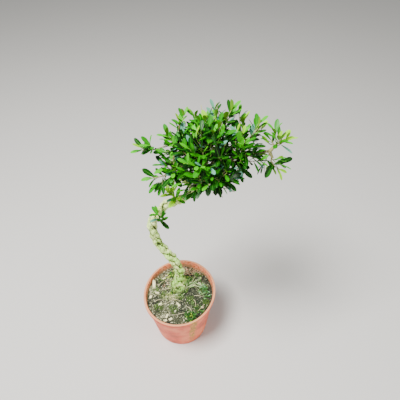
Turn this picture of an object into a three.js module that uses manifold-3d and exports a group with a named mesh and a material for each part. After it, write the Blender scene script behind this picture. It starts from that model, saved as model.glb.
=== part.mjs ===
// Potted bonsai tree: a small-leaved evergreen whose trunk leans out, turns back at a knee and carries
// a rounded open crown, with one long bough to the right. It grows in a round tapered plastic pot.
// Millimetres, +Z up, origin at the centre of the pot's flat underside, +X to the right and +Y to the back.

import * as THREE from 'three';
import { ConvexGeometry } from 'three/addons/geometries/ConvexGeometry.js';
import { mergeVertices } from 'three/addons/utils/BufferGeometryUtils.js';
import Module from 'manifold-3d';

const wasm = await Module();
wasm.setup();

const at = (x, y, z) => new THREE.Vector3(x, y, z);
const UP = at(0, 0, 1);

// Driving dimensions

const CLEARANCE = 0.3;

const POT = {
  height: 88,
  rimRadius: 52.7,
  footRadius: 37.9,
  wall: 1.6,
  floor: 2.4,
  lipHeight: 3.6,
  lipWidth: 1.3,
  footChamfer: 1.2,
  drainRadius: 4,
  drainCircle: 27,
  drains: 6,
  drainSides: 12,
  sides: 40,
  squeezeX: -0.034,
  squeezeDiagonal: 0.027,
};

// The soil is level in the middle and sinks a little towards the wall. Mossy mounds rise from it, by a
// share of their height, except close to the trunk's foot.
const SOIL = {
  top: 80.5,
  levelRadius: 30,
  edgeDrop: 2,
  rings: 8,
  moundHeight: 2,
  footRadius: 14,
  footRamp: 6,
  mounds: [
    { x: -1, y: -4, reach: 9 },
    { x: -22, y: -2, reach: 8 },
    { x: -12, y: 31, reach: 8 },
    { x: 16, y: 21, reach: 9 },
    { x: 33, y: 8, reach: 10 },
    { x: 14, y: -35, reach: 9 },
    { x: 36, y: -14, reach: 8 },
    { x: 15, y: -10, reach: 8 },
    { x: 26, y: 32, reach: 7 },
    { x: -30, y: -20, reach: 8 },
    { x: -37, y: 8, reach: 8 },
    { x: -28, y: 24, reach: 8 },
    { x: -9, y: -24, reach: 8 },
    { x: 24, y: -24, reach: 7 },
  ],
};

// Large chips of bark and pumice that lie on the soil: long, wide and thick, turned by degrees.
const CHIPS = {
  sides: 5,
  taper: 0.75,
  sunkShare: 0.4,
  lying: [
    { x: -39, y: 20, size: [9, 3.6, 2.4], turn: 80 },
    { x: -36, y: 11, size: [5.5, 3.4, 2.2], turn: 60 },
    { x: -33, y: 2, size: [6.5, 3, 2.2], turn: -10 },
    { x: -42, y: -3, size: [6, 3.4, 2.2], turn: 80 },
    { x: -2, y: -17, size: [7.5, 3.2, 2.4], turn: -50 },
    { x: -17, y: -34, size: [7, 3, 2.2], turn: 70 },
    { x: -12, y: -39, size: [5.5, 3.4, 2.4], turn: 40 },
    { x: -19, y: -41, size: [5, 3.2, 2.2], turn: 10 },
    { x: -27, y: -17, size: [5, 3, 2.2], turn: 15 },
    { x: 30, y: 27, size: [4.5, 2.6, 2.2], turn: 80 },
    { x: 32, y: -21, size: [5, 3, 2.2], turn: 45 },
    { x: -24, y: 26, size: [5, 3, 2.2], turn: 20 },
  ],
};

// The trunk is two limbs that meet at the knee. It is furrowed and knobbed, and its foot flares into toes.
const TRUNK = {
  sides: 10,
  footRadius: 11,
  bodyRadius: 6.2,
  kneeRadius: 5.7,
  forkRadius: 3.9,
  flareShare: 0.36,
  toes: 5,
  toeDepth: 0.16,
  knobs: 0.1,
  twist: 13,
  knots: 28,
  lower: [
    at(-1.9, 11.6, 77),
    at(0.9, 14.4, 104),
    at(-4.6, 17.8, 132),
    at(-14.3, 20.8, 149),
    at(-25.2, 23.9, 167),
    at(-30.2, 25.6, 184),
    at(-31, 26, 198),
  ],
  lowerRings: 22,
  upper: [
    at(-31, 26, 198),
    at(-29.6, 25.9, 208),
    at(-25, 25, 218),
    at(-11, 21, 241),
    at(8, 15, 257),
    at(24, 10, 273),
    at(31, 9, 288),
  ],
  upperRings: 20,
};

const BOUGH_SIDES = 6;
const BOUGH_RINGS = 6;

// Each bough leaves the limb that carries it at a share of that limb's length, and tapers to where its
// leaves begin.
const BOUGHS = {
  bough_left: {
    on: 'trunk_upper',
    share: 0.86,
    via: at(10, 8, 294),
    tip: at(2, 7, 308),
    radii: [2.7, 1.6],
  },
  bough_front: {
    on: 'trunk_upper',
    share: 0.93,
    via: at(37, -2, 294),
    tip: at(38, -9, 306),
    radii: [2.6, 1.6],
  },
  bough_back: {
    on: 'trunk_upper',
    share: 0.96,
    via: at(26, 22, 300),
    tip: at(26, 28, 314),
    radii: [2.6, 1.6],
  },
  bough_leader: {
    on: 'trunk_upper',
    share: 1,
    via: at(33, 9, 304),
    tip: at(36, 11, 322),
    radii: [3.0, 1.7],
  },
  bough_right: {
    on: 'bough_leader',
    share: 0.4,
    via: at(50, 8, 314),
    tip: at(72, 5, 327),
    radii: [2.6, 2.0],
  },
  bough_end: {
    on: 'bough_right',
    share: 1,
    via: at(84, 3, 331),
    tip: at(98, 2, 334),
    radii: [1.9, 1.2],
  },
};

// The crown is a lumpy ball round this centre, and its top leans to the right. Its shoots end on a
// golden-angle spiral, in layers that are shares of the ball's radii.
const CROWN = {
  seed: 77,
  centre: at(37, 3, 330),
  radii: at(40, 35, 33),
  lean: 7,
  shoots: 160,
  layers: [0.8, 1, 0.58, 0.9, 0.36],
  lumps: 0.08,
  uneven: 0.12,
  scatter: 0.4,
  lowest: -0.8,
};

// Each foliage mass keeps to its own cell, the space that is nearer to its centre than to any other's.
// Leads are the shoots that stand out of the crown, and a loner has no others.
const MASSES = {
  leaves_left: {
    on: 'bough_left',
    centre: at(1, -8, 314),
    leads: [at(-19, -6, 307)],
  },
  leaves_left_high: {
    on: 'bough_left',
    centre: at(4, 17, 339),
    leads: [at(-29, 9, 331), at(10, 25, 353)],
  },
  leaves_front_left: {
    on: 'bough_front',
    centre: at(22, -22, 310),
    leads: [],
  },
  leaves_front_right: {
    on: 'bough_front',
    centre: at(50, -22, 314),
    leads: [at(58, -18, 317)],
  },
  leaves_front_high: {
    on: 'bough_front',
    centre: at(35, -9, 342),
    leads: [],
  },
  leaves_back: {
    on: 'bough_back',
    centre: at(26, 36, 320),
    leads: [],
  },
  leaves_top: {
    on: 'bough_leader',
    centre: at(44, 24, 352),
    leads: [at(38, 26, 358), at(60, 24, 361)],
  },
  leaves_right: {
    on: 'bough_right',
    centre: at(77, -6, 331),
    leads: [at(82, -2, 335)],
  },
  leaves_right_high: {
    on: 'bough_right',
    centre: at(76, 16, 343),
    leads: [at(86, 14, 353)],
  },
  leaves_end_high: {
    on: 'bough_end',
    centre: at(108, 4, 346),
    leads: [at(99, 5, 345), at(108, 3, 348)],
    loner: true,
  },
  leaves_end_low: {
    on: 'bough_end',
    centre: at(104, 0, 322),
    leads: [at(102, 3, 315), at(109, -2, 314)],
    loner: true,
  },
  leaves_knee: {
    on: 'trunk_upper',
    share: 0.1,
    centre: at(-17, 12, 224),
    leads: [at(-18, 13, 222)],
    loner: true,
  },
  leaves_collar: {
    on: 'trunk_upper',
    share: 0.64,
    centre: at(2, 2, 272),
    leads: [at(-1, 4, 273)],
    loner: true,
  },
};

// A twig's three-sided section has its corners at these distances from its line: at its foot, where it
// bends and at its end. Twigs of the last order bear no others.
const TWIG = {
  sections: [[2.2, 2.1, 2], [1, 1.1, 0.8], [0.55, 0.76, 0.74]],
  stemShare: 0.62,
  step: 2.3,
  endLength: 15,
  leastBend: 0.35,
  footShare: 0.2,
  sag: 0.12,
  turnCost: 0.9,
  spacing: 7.6,
  clearance: 0.25,
};

// Leaves stand in opposite pairs, each pair turned a right angle from the next. A leaf is flat above and
// keeled below, with its root point sunk through the twig's middle.
const LEAF = {
  length: 16,
  width: 6.4,
  keel: 0.9,
  keelAt: 0.18,
  widestAt: 0.6,
  tipWidth: 0.36,
  sunk: 0.28,
  pairs: [
    { back: 1.5, lean: 28, size: 0.9 },
    { back: 5.5, lean: 48, size: 1 },
    { back: 10, lean: 62, size: 0.94 },
    { back: 14, lean: 66, size: 0.86 },
  ],
  smallest: 0.88,
  largest: 1.12,
  faceUp: 0.8,
  gap: 0.05,
  clearance: 0.22,
  limbClearance: 0.9,
  turnsTried: 16,
};

// Solids from geometry, and geometry from solids

function solidOf(geometry) {
  const bare = geometry.clone();
  bare.deleteAttribute('normal');
  bare.deleteAttribute('uv');
  const merged = mergeVertices(bare);
  const vertProperties = Float32Array.from(merged.attributes.position.array);
  const triVerts = Uint32Array.from(merged.index.array);
  return new wasm.Manifold(new wasm.Mesh({ numProp: 3, vertProperties, triVerts }));
}

function geometryOf(solid) {
  const mesh = solid.getMesh();
  const geometry = new THREE.BufferGeometry();
  geometry.setAttribute('position', new THREE.BufferAttribute(mesh.vertProperties, 3));
  geometry.setIndex(new THREE.BufferAttribute(mesh.triVerts, 1));
  geometry.computeVertexNormals();
  return geometry;
}

// A Lehmer generator: the same seed gives the same plant.
function seeded(seed) {
  const MULTIPLIER = 48271;
  const MODULUS = 2147483647;
  let state = (seed * 7919 + 12345) % MODULUS;
  return () => {
    state = (state * MULTIPLIER) % MODULUS;
    return state / MODULUS;
  };
}

// Pot and soil: turned profiles, squeezed a little out of round towards the rim

function squeezed(geometry) {
  const place = geometry.attributes.position;
  for (let i = 0; i < place.count; i += 1) {
    const angle = Math.atan2(place.getY(i), place.getX(i));
    const oval = POT.squeezeX * Math.cos(2 * angle) + POT.squeezeDiagonal * Math.sin(2 * angle);
    const stretch = 1 + (oval * place.getZ(i)) / POT.height;
    place.setX(i, place.getX(i) * stretch);
    place.setY(i, place.getY(i) * stretch);
  }
  return geometry;
}

function turned(profile) {
  const points = profile.map(([radius, height]) => new THREE.Vector2(radius, height));
  return squeezed(new THREE.LatheGeometry(points, POT.sides).rotateX(Math.PI / 2));
}

// The wall's outer radius below the lip.
function wallRadius(height) {
  const under = POT.rimRadius - POT.lipWidth;
  return POT.footRadius + ((under - POT.footRadius) * height) / POT.height;
}

function makePot() {
  const inner = (height) => wallRadius(height) - POT.wall;
  const underLip = POT.height - POT.lipHeight;
  const round = POT.lipWidth / 2;
  const shell = turned([
    [0, 0],
    [POT.footRadius - POT.footChamfer, 0],
    [wallRadius(POT.footChamfer), POT.footChamfer],
    [wallRadius(underLip - round), underLip - round],
    [POT.rimRadius, underLip],
    [POT.rimRadius, POT.height - round],
    [POT.rimRadius - round, POT.height],
    [inner(POT.height) + round, POT.height],
    [inner(POT.height), POT.height - round],
    [inner(POT.floor), POT.floor],
    [0, POT.floor],
  ]);
  let pot = solidOf(shell);
  for (let k = 0; k < POT.drains; k += 1) {
    const angle = (k * 2 * Math.PI) / POT.drains;
    const depth = 4 * POT.floor;
    const drill = new THREE.CylinderGeometry(POT.drainRadius, POT.drainRadius, depth, POT.drainSides);
    drill.rotateX(Math.PI / 2);
    drill.translate(POT.drainCircle * Math.cos(angle), POT.drainCircle * Math.sin(angle), 0);
    pot = pot.subtract(solidOf(drill));
  }
  return pot;
}

const soilFit = (height) => wallRadius(height) - POT.wall - CLEARANCE;

function soilHeight(x, y) {
  const edge = soilFit(SOIL.top - SOIL.edgeDrop);
  const slope = Math.max(0, (Math.hypot(x, y) - SOIL.levelRadius) / (edge - SOIL.levelRadius));
  const [foot] = TRUNK.lower;
  const beyond = (Math.hypot(x - foot.x, y - foot.y) - SOIL.footRadius) / SOIL.footRamp;
  const rises = SOIL.mounds.map((mound) => 1 - Math.hypot(x - mound.x, y - mound.y) / mound.reach);
  const rise = Math.sin((Math.PI / 2) * Math.max(0, ...rises)) * Math.min(1, Math.max(0, beyond));
  return SOIL.top - SOIL.edgeDrop * slope + SOIL.moundHeight * rise;
}

function makeSoil() {
  const bottom = POT.floor + CLEARANCE;
  const edge = SOIL.top - SOIL.edgeDrop;
  const profile = [[0, bottom], [soilFit(bottom), bottom], [soilFit(edge), edge]];
  for (let ring = SOIL.rings - 1; ring >= 0; ring -= 1) {
    profile.push([(soilFit(edge) * ring) / SOIL.rings, SOIL.top]);
  }
  const bed = turned(profile);
  const place = bed.attributes.position;
  for (let i = 0; i < place.count; i += 1) {
    if (place.getZ(i) === SOIL.top) place.setZ(i, soilHeight(place.getX(i), place.getY(i)));
  }
  const inside = turned([
    [0, bottom],
    [soilFit(bottom), bottom],
    [soilFit(POT.height), POT.height],
    [0, POT.height],
  ]);
  const chips = CHIPS.lying.map(({ x, y, size: [length, width, thick], turn }) => {
    const chip = new THREE.CylinderGeometry(CHIPS.taper / 2, 0.5, 1, CHIPS.sides);
    chip.rotateX(Math.PI / 2).scale(length, width, thick).rotateZ(THREE.MathUtils.degToRad(turn));
    chip.translate(x, y, soilHeight(x, y) + thick * (0.5 - CHIPS.sunkShare));
    return solidOf(chip).intersect(solidOf(inside));
  });
  return wasm.Manifold.union([solidOf(bed), ...chips]);
}

// Trunk and boughs: cylinders laid along curves, with a radius for each place on them

function tubeAlong(curve, radiusAt, sides, rings, overrun) {
  const tube = new THREE.CylinderGeometry(1, 1, 1, sides, rings);
  const frames = curve.computeFrenetFrames(rings);
  const place = tube.attributes.position;
  const vertex = new THREE.Vector3();
  for (let i = 0; i < place.count; i += 1) {
    vertex.fromBufferAttribute(place, i);
    const ring = Math.round((vertex.y + 0.5) * rings);
    const angle = Math.atan2(vertex.x, vertex.z);
    const radius = Math.hypot(vertex.x, vertex.z) * radiusAt(ring / rings, angle);
    curve.getPointAt(ring / rings, vertex);
    if (ring === 0) vertex.addScaledVector(frames.tangents[ring], -overrun);
    if (ring === rings) vertex.addScaledVector(frames.tangents[ring], overrun);
    vertex.addScaledVector(frames.normals[ring], radius * Math.cos(angle));
    vertex.addScaledVector(frames.binormals[ring], radius * Math.sin(angle));
    place.setXYZ(i, vertex.x, vertex.y, vertex.z);
  }
  return tube;
}

// A limb knows its curve and its radius, so that others can be seated on it and kept clear of it.
function limbOf(points, radiusAt, sides, rings) {
  const curve = new THREE.CatmullRomCurve3(points, false, 'centripetal');
  const solid = (grown) => {
    const section = (share, angle) => radiusAt(share, angle) + grown;
    return solidOf(tubeAlong(curve, section, sides, rings, grown));
  };
  const samples = [];
  for (let k = 0; k <= 2 * rings; k += 1) {
    const share = k / (2 * rings);
    samples.push({ at: curve.getPointAt(share), radius: radiusAt(share, 0) });
  }
  return { curve, solid, samples };
}

function barkRadius(share, angle, first, last) {
  const furrows = Math.sin(2 * angle + TRUNK.twist * share) * Math.sin(angle + TRUNK.knots * share);
  return (first + (last - first) * share) * (1 + TRUNK.knobs * furrows);
}

function lowerRadius(share, angle) {
  const flare = Math.max(0, 1 - share / TRUNK.flareShare) ** 2;
  const toes = 1 + TRUNK.toeDepth * flare * Math.cos(TRUNK.toes * angle);
  const spread = (TRUNK.footRadius - TRUNK.bodyRadius) * flare;
  return (barkRadius(share, angle, TRUNK.bodyRadius, TRUNK.kneeRadius) + spread) * toes;
}

function upperRadius(share, angle) {
  return barkRadius(share, angle, TRUNK.kneeRadius, TRUNK.forkRadius);
}

const limbs = {
  trunk_lower: limbOf(TRUNK.lower, lowerRadius, TRUNK.sides, TRUNK.lowerRings),
  trunk_upper: limbOf(TRUNK.upper, upperRadius, TRUNK.sides, TRUNK.upperRings),
};

for (const [name, bough] of Object.entries(BOUGHS)) {
  const foot = limbs[bough.on].curve.getPointAt(bough.share);
  const [thick, thin] = bough.radii;
  const taper = (share) => thick + (thin - thick) * share;
  limbs[name] = limbOf([foot, bough.via, bough.tip], taper, BOUGH_SIDES, BOUGH_RINGS);
}

// The part of a solid that holds together; what a cut leaves loose and what fusing seals is dropped.
function largestPiece(solid) {
  const pieces = solid.decompose();
  pieces.sort((a, b) => b.volume() - a.volume());
  return pieces[0];
}

// The limbs before this one are cut out of its foot with a clearance, so that it sits on their bark.
// What would lie in the soil is cut off flat, just above it.
function makeLimb(name) {
  let solid = limbs[name].solid(0);
  const others = Object.keys(limbs);
  for (const other of others.slice(0, others.indexOf(name))) {
    solid = solid.subtract(limbs[other].solid(CLEARANCE));
  }
  const below = new THREE.BoxGeometry(POT.height, POT.height, POT.height);
  below.translate(0, 0, SOIL.top + CLEARANCE - POT.height / 2);
  return largestPiece(solid.subtract(solidOf(below)));
}

// Foliage: the rule by which a mass's stem branches to its shoots, and its shoots bear leaves

const masses = Object.entries(MASSES).map(([name, mass], index) => {
  const share = mass.share ?? 1;
  const root = limbs[mass.on].curve.getPointAt(share);
  const crotch = root.clone().lerp(mass.centre, TWIG.stemShare);
  return { name, root, crotch, seed: index + 1, shoots: [...mass.leads], ...mass };
});

// How far a point lies inside a mass's cell, to the nearest of its walls.
function depthInCell(point, mass) {
  let depth = Infinity;
  for (const other of masses) {
    if (other !== mass) {
      const across = mass.centre.clone().sub(other.centre);
      const middle = mass.centre.clone().add(other.centre).multiplyScalar(0.5);
      depth = Math.min(depth, point.clone().sub(middle).dot(across.normalize()));
    }
  }
  return depth;
}

function nearestMass(point) {
  const takers = masses.filter((mass) => !mass.loner);
  const distance = (mass) => mass.centre.distanceTo(point);
  return takers.reduce((best, mass) => (distance(mass) < distance(best) ? mass : best));
}

function spreadShoots() {
  const draw = seeded(CROWN.seed);
  const golden = Math.PI * (3 - Math.sqrt(5));
  for (let k = 0; k < CROWN.shoots; k += 1) {
    const height = 1 - (2 * (k + 0.5)) / CROWN.shoots;
    const ring = Math.sqrt(1 - height * height);
    const angle = k * golden + CROWN.scatter * draw();
    const lump = 1 + CROWN.lumps * Math.sin(3 * angle + 4 * height) + CROWN.uneven * (draw() - 0.5);
    const share = CROWN.layers[k % CROWN.layers.length] * lump;
    const shoot = at(ring * Math.cos(angle), ring * Math.sin(angle), height);
    shoot.multiply(CROWN.radii).multiplyScalar(share).add(CROWN.centre);
    shoot.x += CROWN.lean * height;
    if (height > CROWN.lowest) {
      const mass = nearestMass(shoot);
      const crowded = mass.shoots.some((other) => other.distanceTo(shoot) < TWIG.spacing);
      if (!crowded) mass.shoots.push(shoot);
    }
  }
}

// The least distance from a point to the limbs and to the other masses' stems, past their radii.
function clearOfLimbs(point, mass) {
  let least = Infinity;
  for (const limb of Object.values(limbs)) {
    for (const sample of limb.samples) {
      least = Math.min(least, sample.at.distanceTo(point) - sample.radius);
    }
  }
  for (const other of masses) {
    if (other !== mass) {
      const stem = new THREE.Line3(other.root, other.crotch);
      const nearest = stem.closestPointToPoint(point, true, new THREE.Vector3());
      least = Math.min(least, nearest.distanceTo(point) - TWIG.sections[0][0]);
    }
  }
  return least;
}

function stretchFits(from, to, radius, mass) {
  const CHECKS = 6;
  for (let k = 0; k <= CHECKS; k += 1) {
    const point = from.clone().lerp(to, k / CHECKS);
    if (depthInCell(point, mass) < radius + TWIG.clearance) return false;
    if (clearOfLimbs(point, mass) < radius + TWIG.clearance) return false;
  }
  return true;
}

function leafAt(root, direction, face, size) {
  const across = new THREE.Vector3().crossVectors(direction, face).normalize();
  const normal = new THREE.Vector3().crossVectors(across, direction).normalize();
  const length = LEAF.length * size;
  const half = (LEAF.width * size) / 2;
  const spot = (share, aside) => {
    return root.clone().addScaledVector(direction, length * share).addScaledVector(across, half * aside);
  };
  const blade = [
    spot(LEAF.widestAt, 1),
    spot(LEAF.widestAt, -1),
    spot(1, LEAF.tipWidth),
    spot(1, -LEAF.tipWidth),
    spot(LEAF.keelAt, 0).addScaledVector(normal, -LEAF.keel),
  ];
  const corners = [root.clone().addScaledVector(direction, -LEAF.sunk), ...blade];
  return { corners, blade, axes: [direction, across, normal] };
}

// Two convex sets of points are apart if they are so along one of their axes or of those across both.
function apart(points, axes, otherPoints, otherAxes, gap) {
  const tried = [...axes, ...otherAxes];
  for (const one of axes) {
    for (const other of otherAxes) tried.push(new THREE.Vector3().crossVectors(one, other));
  }
  return tried.some((axis) => {
    if (axis.lengthSq() < 1e-3) return false;
    const unit = axis.clone().normalize();
    const mine = points.map((point) => point.dot(unit));
    const theirs = otherPoints.map((point) => point.dot(unit));
    const over = Math.min(...mine) - Math.max(...theirs);
    const under = Math.min(...theirs) - Math.max(...mine);
    return Math.max(over, under) > gap;
  });
}

function leafFits(leaf, mass, leaves, twigs) {
  const marks = [...leaf.blade, leaf.blade[0].clone().add(leaf.blade[1]).multiplyScalar(0.5)];
  if (leaf.corners.some((corner) => depthInCell(corner, mass) < LEAF.clearance)) return false;
  if (marks.some((mark) => clearOfLimbs(mark, mass) < LEAF.limbClearance)) return false;
  const apartFrom = (other) => apart(leaf.blade, leaf.axes, other.blade, other.axes, LEAF.gap);
  if (!leaves.every(apartFrom)) return false;
  const clearOf = (from, to, radius) => {
    return apart(leaf.blade, leaf.axes, [from, to], [to.clone().sub(from).normalize()], radius);
  };
  return twigs.every(({ from, bend, to, section }) => {
    return clearOf(from, bend, section[1]) && clearOf(bend, to, section[2]);
  });
}

// The joints that a new twig may leave from, first the near ones whose own direction points that way.
function nearestJoints(joints, target) {
  const cost = (joint) => {
    const reach = target.clone().sub(joint.at);
    const turn = 1 - reach.clone().normalize().dot(joint.heading);
    return reach.length() * (1 + TWIG.turnCost * turn);
  };
  return [...joints].sort((a, b) => cost(a) - cost(b));
}

function stemOf(mass) {
  const bend = mass.root.clone().lerp(mass.crotch, 0.5);
  return { from: mass.root, bend, to: mass.crotch, section: TWIG.sections[0] };
}

// A twig to a shoot goes out level at first and then rises.
function twigTo(shoot, joint) {
  const reach = shoot.distanceTo(joint.at);
  const share = Math.max(TWIG.leastBend, 1 - TWIG.endLength / reach);
  const bend = joint.at.clone().lerp(shoot, share).addScaledVector(UP, -TWIG.sag * reach);
  return { from: joint.at.clone(), bend, to: shoot, section: TWIG.sections[joint.order] };
}

function twigFits({ from, bend, to, section }, mass) {
  const start = from.clone().lerp(bend, TWIG.footShare);
  return stretchFits(start, bend, section[1], mass) && stretchFits(bend, to, section[2], mass);
}

// Twigs leave the one that bears them one below another: the leads' first, and the nearer ones first.
function growTwigs(mass) {
  const heading = mass.crotch.clone().sub(mass.root).normalize();
  const joints = [{ at: mass.crotch.clone().addScaledVector(heading, -TWIG.step), heading, order: 1 }];
  const twigs = [stemOf(mass)];
  const nearer = (a, b) => a.distanceTo(mass.crotch) - b.distanceTo(mass.crotch);
  const fillers = mass.shoots.slice(mass.leads.length);
  for (const shoot of [...[...mass.leads].sort(nearer), ...fillers.sort(nearer)]) {
    const joint = nearestJoints(joints, shoot).find((one) => twigFits(twigTo(shoot, one), mass));
    if (joint) {
      const twig = twigTo(shoot, joint);
      const order = joint.order + 1;
      twigs.push(twig);
      if (order < TWIG.sections.length) {
        const onward = twig.bend.clone().sub(twig.from).normalize();
        joints.push({ at: twig.bend.clone(), heading: onward, order });
      }
      joint.at.addScaledVector(joint.heading, -TWIG.step);
    }
  }
  return twigs;
}

// A shoot takes the turn about its own axis that leaves room for most of its leaves.
function growMass(mass) {
  const draw = seeded(mass.seed);
  const twigs = growTwigs(mass);
  const leaves = [];
  for (const twig of twigs.slice(1)) {
    const others = twigs.filter((other) => other !== twig);
    const first = 2 * Math.PI * draw();
    const size = () => LEAF.smallest + (LEAF.largest - LEAF.smallest) * draw();
    const sizes = LEAF.pairs.map(() => [size(), size()]);
    let best = [];
    for (let k = 0; k < LEAF.turnsTried; k += 1) {
      const set = [];
      for (const leaf of shootLeaves(twig, first + (k * Math.PI) / LEAF.turnsTried, sizes)) {
        if (leafFits(leaf, mass, [...leaves, ...set], others)) set.push(leaf);
      }
      if (set.length > best.length) best = set;
    }
    leaves.push(...best);
  }
  return { twigs, leaves };
}

function shootLeaves({ bend, to }, turn, sizes) {
  const axis = to.clone().sub(bend).normalize();
  const aside = Math.abs(axis.z) < 0.9 ? UP : at(1, 0, 0);
  const side = new THREE.Vector3().crossVectors(axis, aside).normalize();
  const face = axis.clone().addScaledVector(UP, LEAF.faceUp);
  const leaves = [];
  LEAF.pairs.forEach((pair, k) => {
    if (pair.back > to.distanceTo(bend)) return;
    const root = to.clone().addScaledVector(axis, -pair.back);
    const lean = THREE.MathUtils.degToRad(pair.lean);
    for (const half of [0, 1]) {
      const out = side.clone().applyAxisAngle(axis, turn + k * (Math.PI / 2) + half * Math.PI);
      const direction = axis.clone().multiplyScalar(Math.cos(lean)).addScaledVector(out, Math.sin(lean));
      leaves.push(leafAt(root, direction.normalize(), face, pair.size * sizes[k][half]));
    }
  });
  return leaves;
}

// A bent three-sided twig. Its three sections lie parallel, so that its sides stay flat.
function twigSolid({ from, bend, to, section }, grown = 0) {
  const twig = new THREE.CylinderGeometry(1, 1, 2, 3, 2);
  const chord = to.clone().sub(from).normalize();
  twig.applyQuaternion(new THREE.Quaternion().setFromUnitVectors(at(0, 1, 0), chord));
  const place = twig.attributes.position;
  const vertex = new THREE.Vector3();
  for (let i = 0; i < place.count; i += 1) {
    vertex.fromBufferAttribute(place, i);
    const ring = Math.round(vertex.dot(chord)) + 1;
    vertex.addScaledVector(chord, 1 - ring).multiplyScalar(section[ring] + grown);
    vertex.add([from, bend, to][ring]);
    place.setXYZ(i, vertex.x, vertex.y, vertex.z);
  }
  return solidOf(twig);
}

// A mass is fused, and the limbs and the stems before its own are cut out of its foot with a clearance.
function makeMass(mass) {
  const { twigs, leaves } = growMass(mass);
  const parts = twigs.map((twig) => twigSolid(twig));
  for (const leaf of leaves) parts.push(solidOf(new ConvexGeometry(leaf.corners)));
  let solid = wasm.Manifold.union(parts);
  for (const limb of Object.values(limbs)) solid = solid.subtract(limb.solid(CLEARANCE));
  for (const other of masses.slice(0, masses.indexOf(mass))) {
    solid = solid.subtract(twigSolid(stemOf(other), 2 * CLEARANCE));
  }
  return largestPiece(solid);
}

spreadShoots();

// Finishes

const finish = (color, roughness) => new THREE.MeshStandardMaterial({ color, roughness, metalness: 0 });
const TERRACOTTA_PLASTIC = finish(0xc8735c, 0.5);
const GRITTY_SOIL = finish(0x5a5744, 0.95);
const PALE_BARK = finish(0xb9b792, 0.9);
const GREEN_LEAF = finish(0x3f8a2a, 0.4);

const plant = new THREE.Group();

function addNode(name, solid, material) {
  const mesh = new THREE.Mesh(geometryOf(solid), material);
  mesh.name = name;
  plant.add(mesh);
}

addNode('pot', makePot(), TERRACOTTA_PLASTIC);
addNode('soil', makeSoil(), GRITTY_SOIL);
for (const name of Object.keys(limbs)) addNode(name, makeLimb(name), PALE_BARK);
for (const mass of masses) addNode(mass.name, makeMass(mass), GREEN_LEAF);

export default plant;
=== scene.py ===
# Potted bonsai tree: the looks of the plant and its pot, over its solids.
# The frame is in metres, +Z up, with its origin at the centre of the pot's flat underside. Sizes are
# named in millimetres, as they would be measured on the plant.

import math

import bmesh
import bpy
import numpy as np
from mathutils import Matrix, Vector, noise


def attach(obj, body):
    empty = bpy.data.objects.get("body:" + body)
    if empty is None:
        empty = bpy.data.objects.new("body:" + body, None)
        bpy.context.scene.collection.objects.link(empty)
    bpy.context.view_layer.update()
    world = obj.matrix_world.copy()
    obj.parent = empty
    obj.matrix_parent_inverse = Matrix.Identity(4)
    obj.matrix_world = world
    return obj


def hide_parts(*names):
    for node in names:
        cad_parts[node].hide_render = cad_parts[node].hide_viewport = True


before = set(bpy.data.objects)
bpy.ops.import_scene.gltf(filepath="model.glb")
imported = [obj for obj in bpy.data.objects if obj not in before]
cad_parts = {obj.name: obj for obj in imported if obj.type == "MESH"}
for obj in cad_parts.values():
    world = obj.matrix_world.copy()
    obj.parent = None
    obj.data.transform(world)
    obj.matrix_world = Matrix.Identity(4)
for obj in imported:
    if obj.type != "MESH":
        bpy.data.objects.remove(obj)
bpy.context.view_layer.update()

MM = 0.001
# Dents and wavering twigs come out the same each time.
noise.seed_set(6)


# Camera
# The plant stands on the ground and is seen from above its front, about 45 degrees down.

CAMERA_PLACE = Vector((26.6, -301.1, 565.0)) * MM
CAMERA_PITCH = math.radians(44.47)
CAMERA_YAW = math.radians(-0.523)
CAMERA_ROLL = math.radians(-0.184)
FOCAL_PIXELS = 384.07
PHOTO_PIXELS = 400
SENSOR_WIDTH = 36
NEAREST_SEEN = 0.01

camera_data = bpy.data.cameras.new("camera")
camera_data.sensor_fit = "HORIZONTAL"
camera_data.sensor_width = SENSOR_WIDTH
camera_data.lens = SENSOR_WIDTH * FOCAL_PIXELS / PHOTO_PIXELS
camera_data.clip_start = NEAREST_SEEN
camera = bpy.data.objects.new("camera", camera_data)
turn = Matrix.Rotation(CAMERA_YAW, 4, "Z")
tilt = Matrix.Rotation(math.pi / 2 - CAMERA_PITCH, 4, "X")
roll = Matrix.Rotation(CAMERA_ROLL, 4, "Z")
camera.matrix_world = Matrix.Translation(CAMERA_PLACE) @ turn @ tilt @ roll
bpy.context.scene.collection.objects.link(camera)
bpy.context.scene.camera = camera


# Studio
# A plain pale floor under a soft overcast light, with one broad lamp above and a weaker one to the side.

FLOOR_SIZE = 9000 * MM
SKY_COLOUR = "#eceff0"
SKY_STRENGTH = 0.42
# Where each lamp hangs, how broad it is and its power in watts.
LAMPS = [
    ("lamp_above", (-350, -250, 1250), 420, 36),
    ("lamp_side", (900, -500, 700), 600, 5),
]
PLANT_MIDDLE = Vector((30, 5, 250)) * MM


def linear(code):
    """An sRGB hex colour as linear red, green, blue and alpha."""
    parts = [int(code[k:k + 2], 16) / 255 for k in (1, 3, 5)]
    return [c / 12.92 if c <= 0.04045 else ((c + 0.055) / 1.055) ** 2.4 for c in parts] + [1.0]


def add_node(tree, kind, inputs=None, **settings):
    """Adds a node with its settings. An input is linked to the socket, or to the node's first output, that
    it is given."""
    node = tree.nodes.new(kind)
    for name, value in settings.items():
        setattr(node, name, value)
    for name, value in (inputs or {}).items():
        if isinstance(name, int):
            socket = node.inputs[name]
        else:
            socket = next(s for s in node.inputs if s.name == name and s.enabled)
        if isinstance(value, bpy.types.Node):
            value = next(s for s in value.outputs if s.enabled)
        if isinstance(value, bpy.types.NodeSocket):
            tree.links.new(value, socket)
        else:
            socket.default_value = value
    return node


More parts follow.
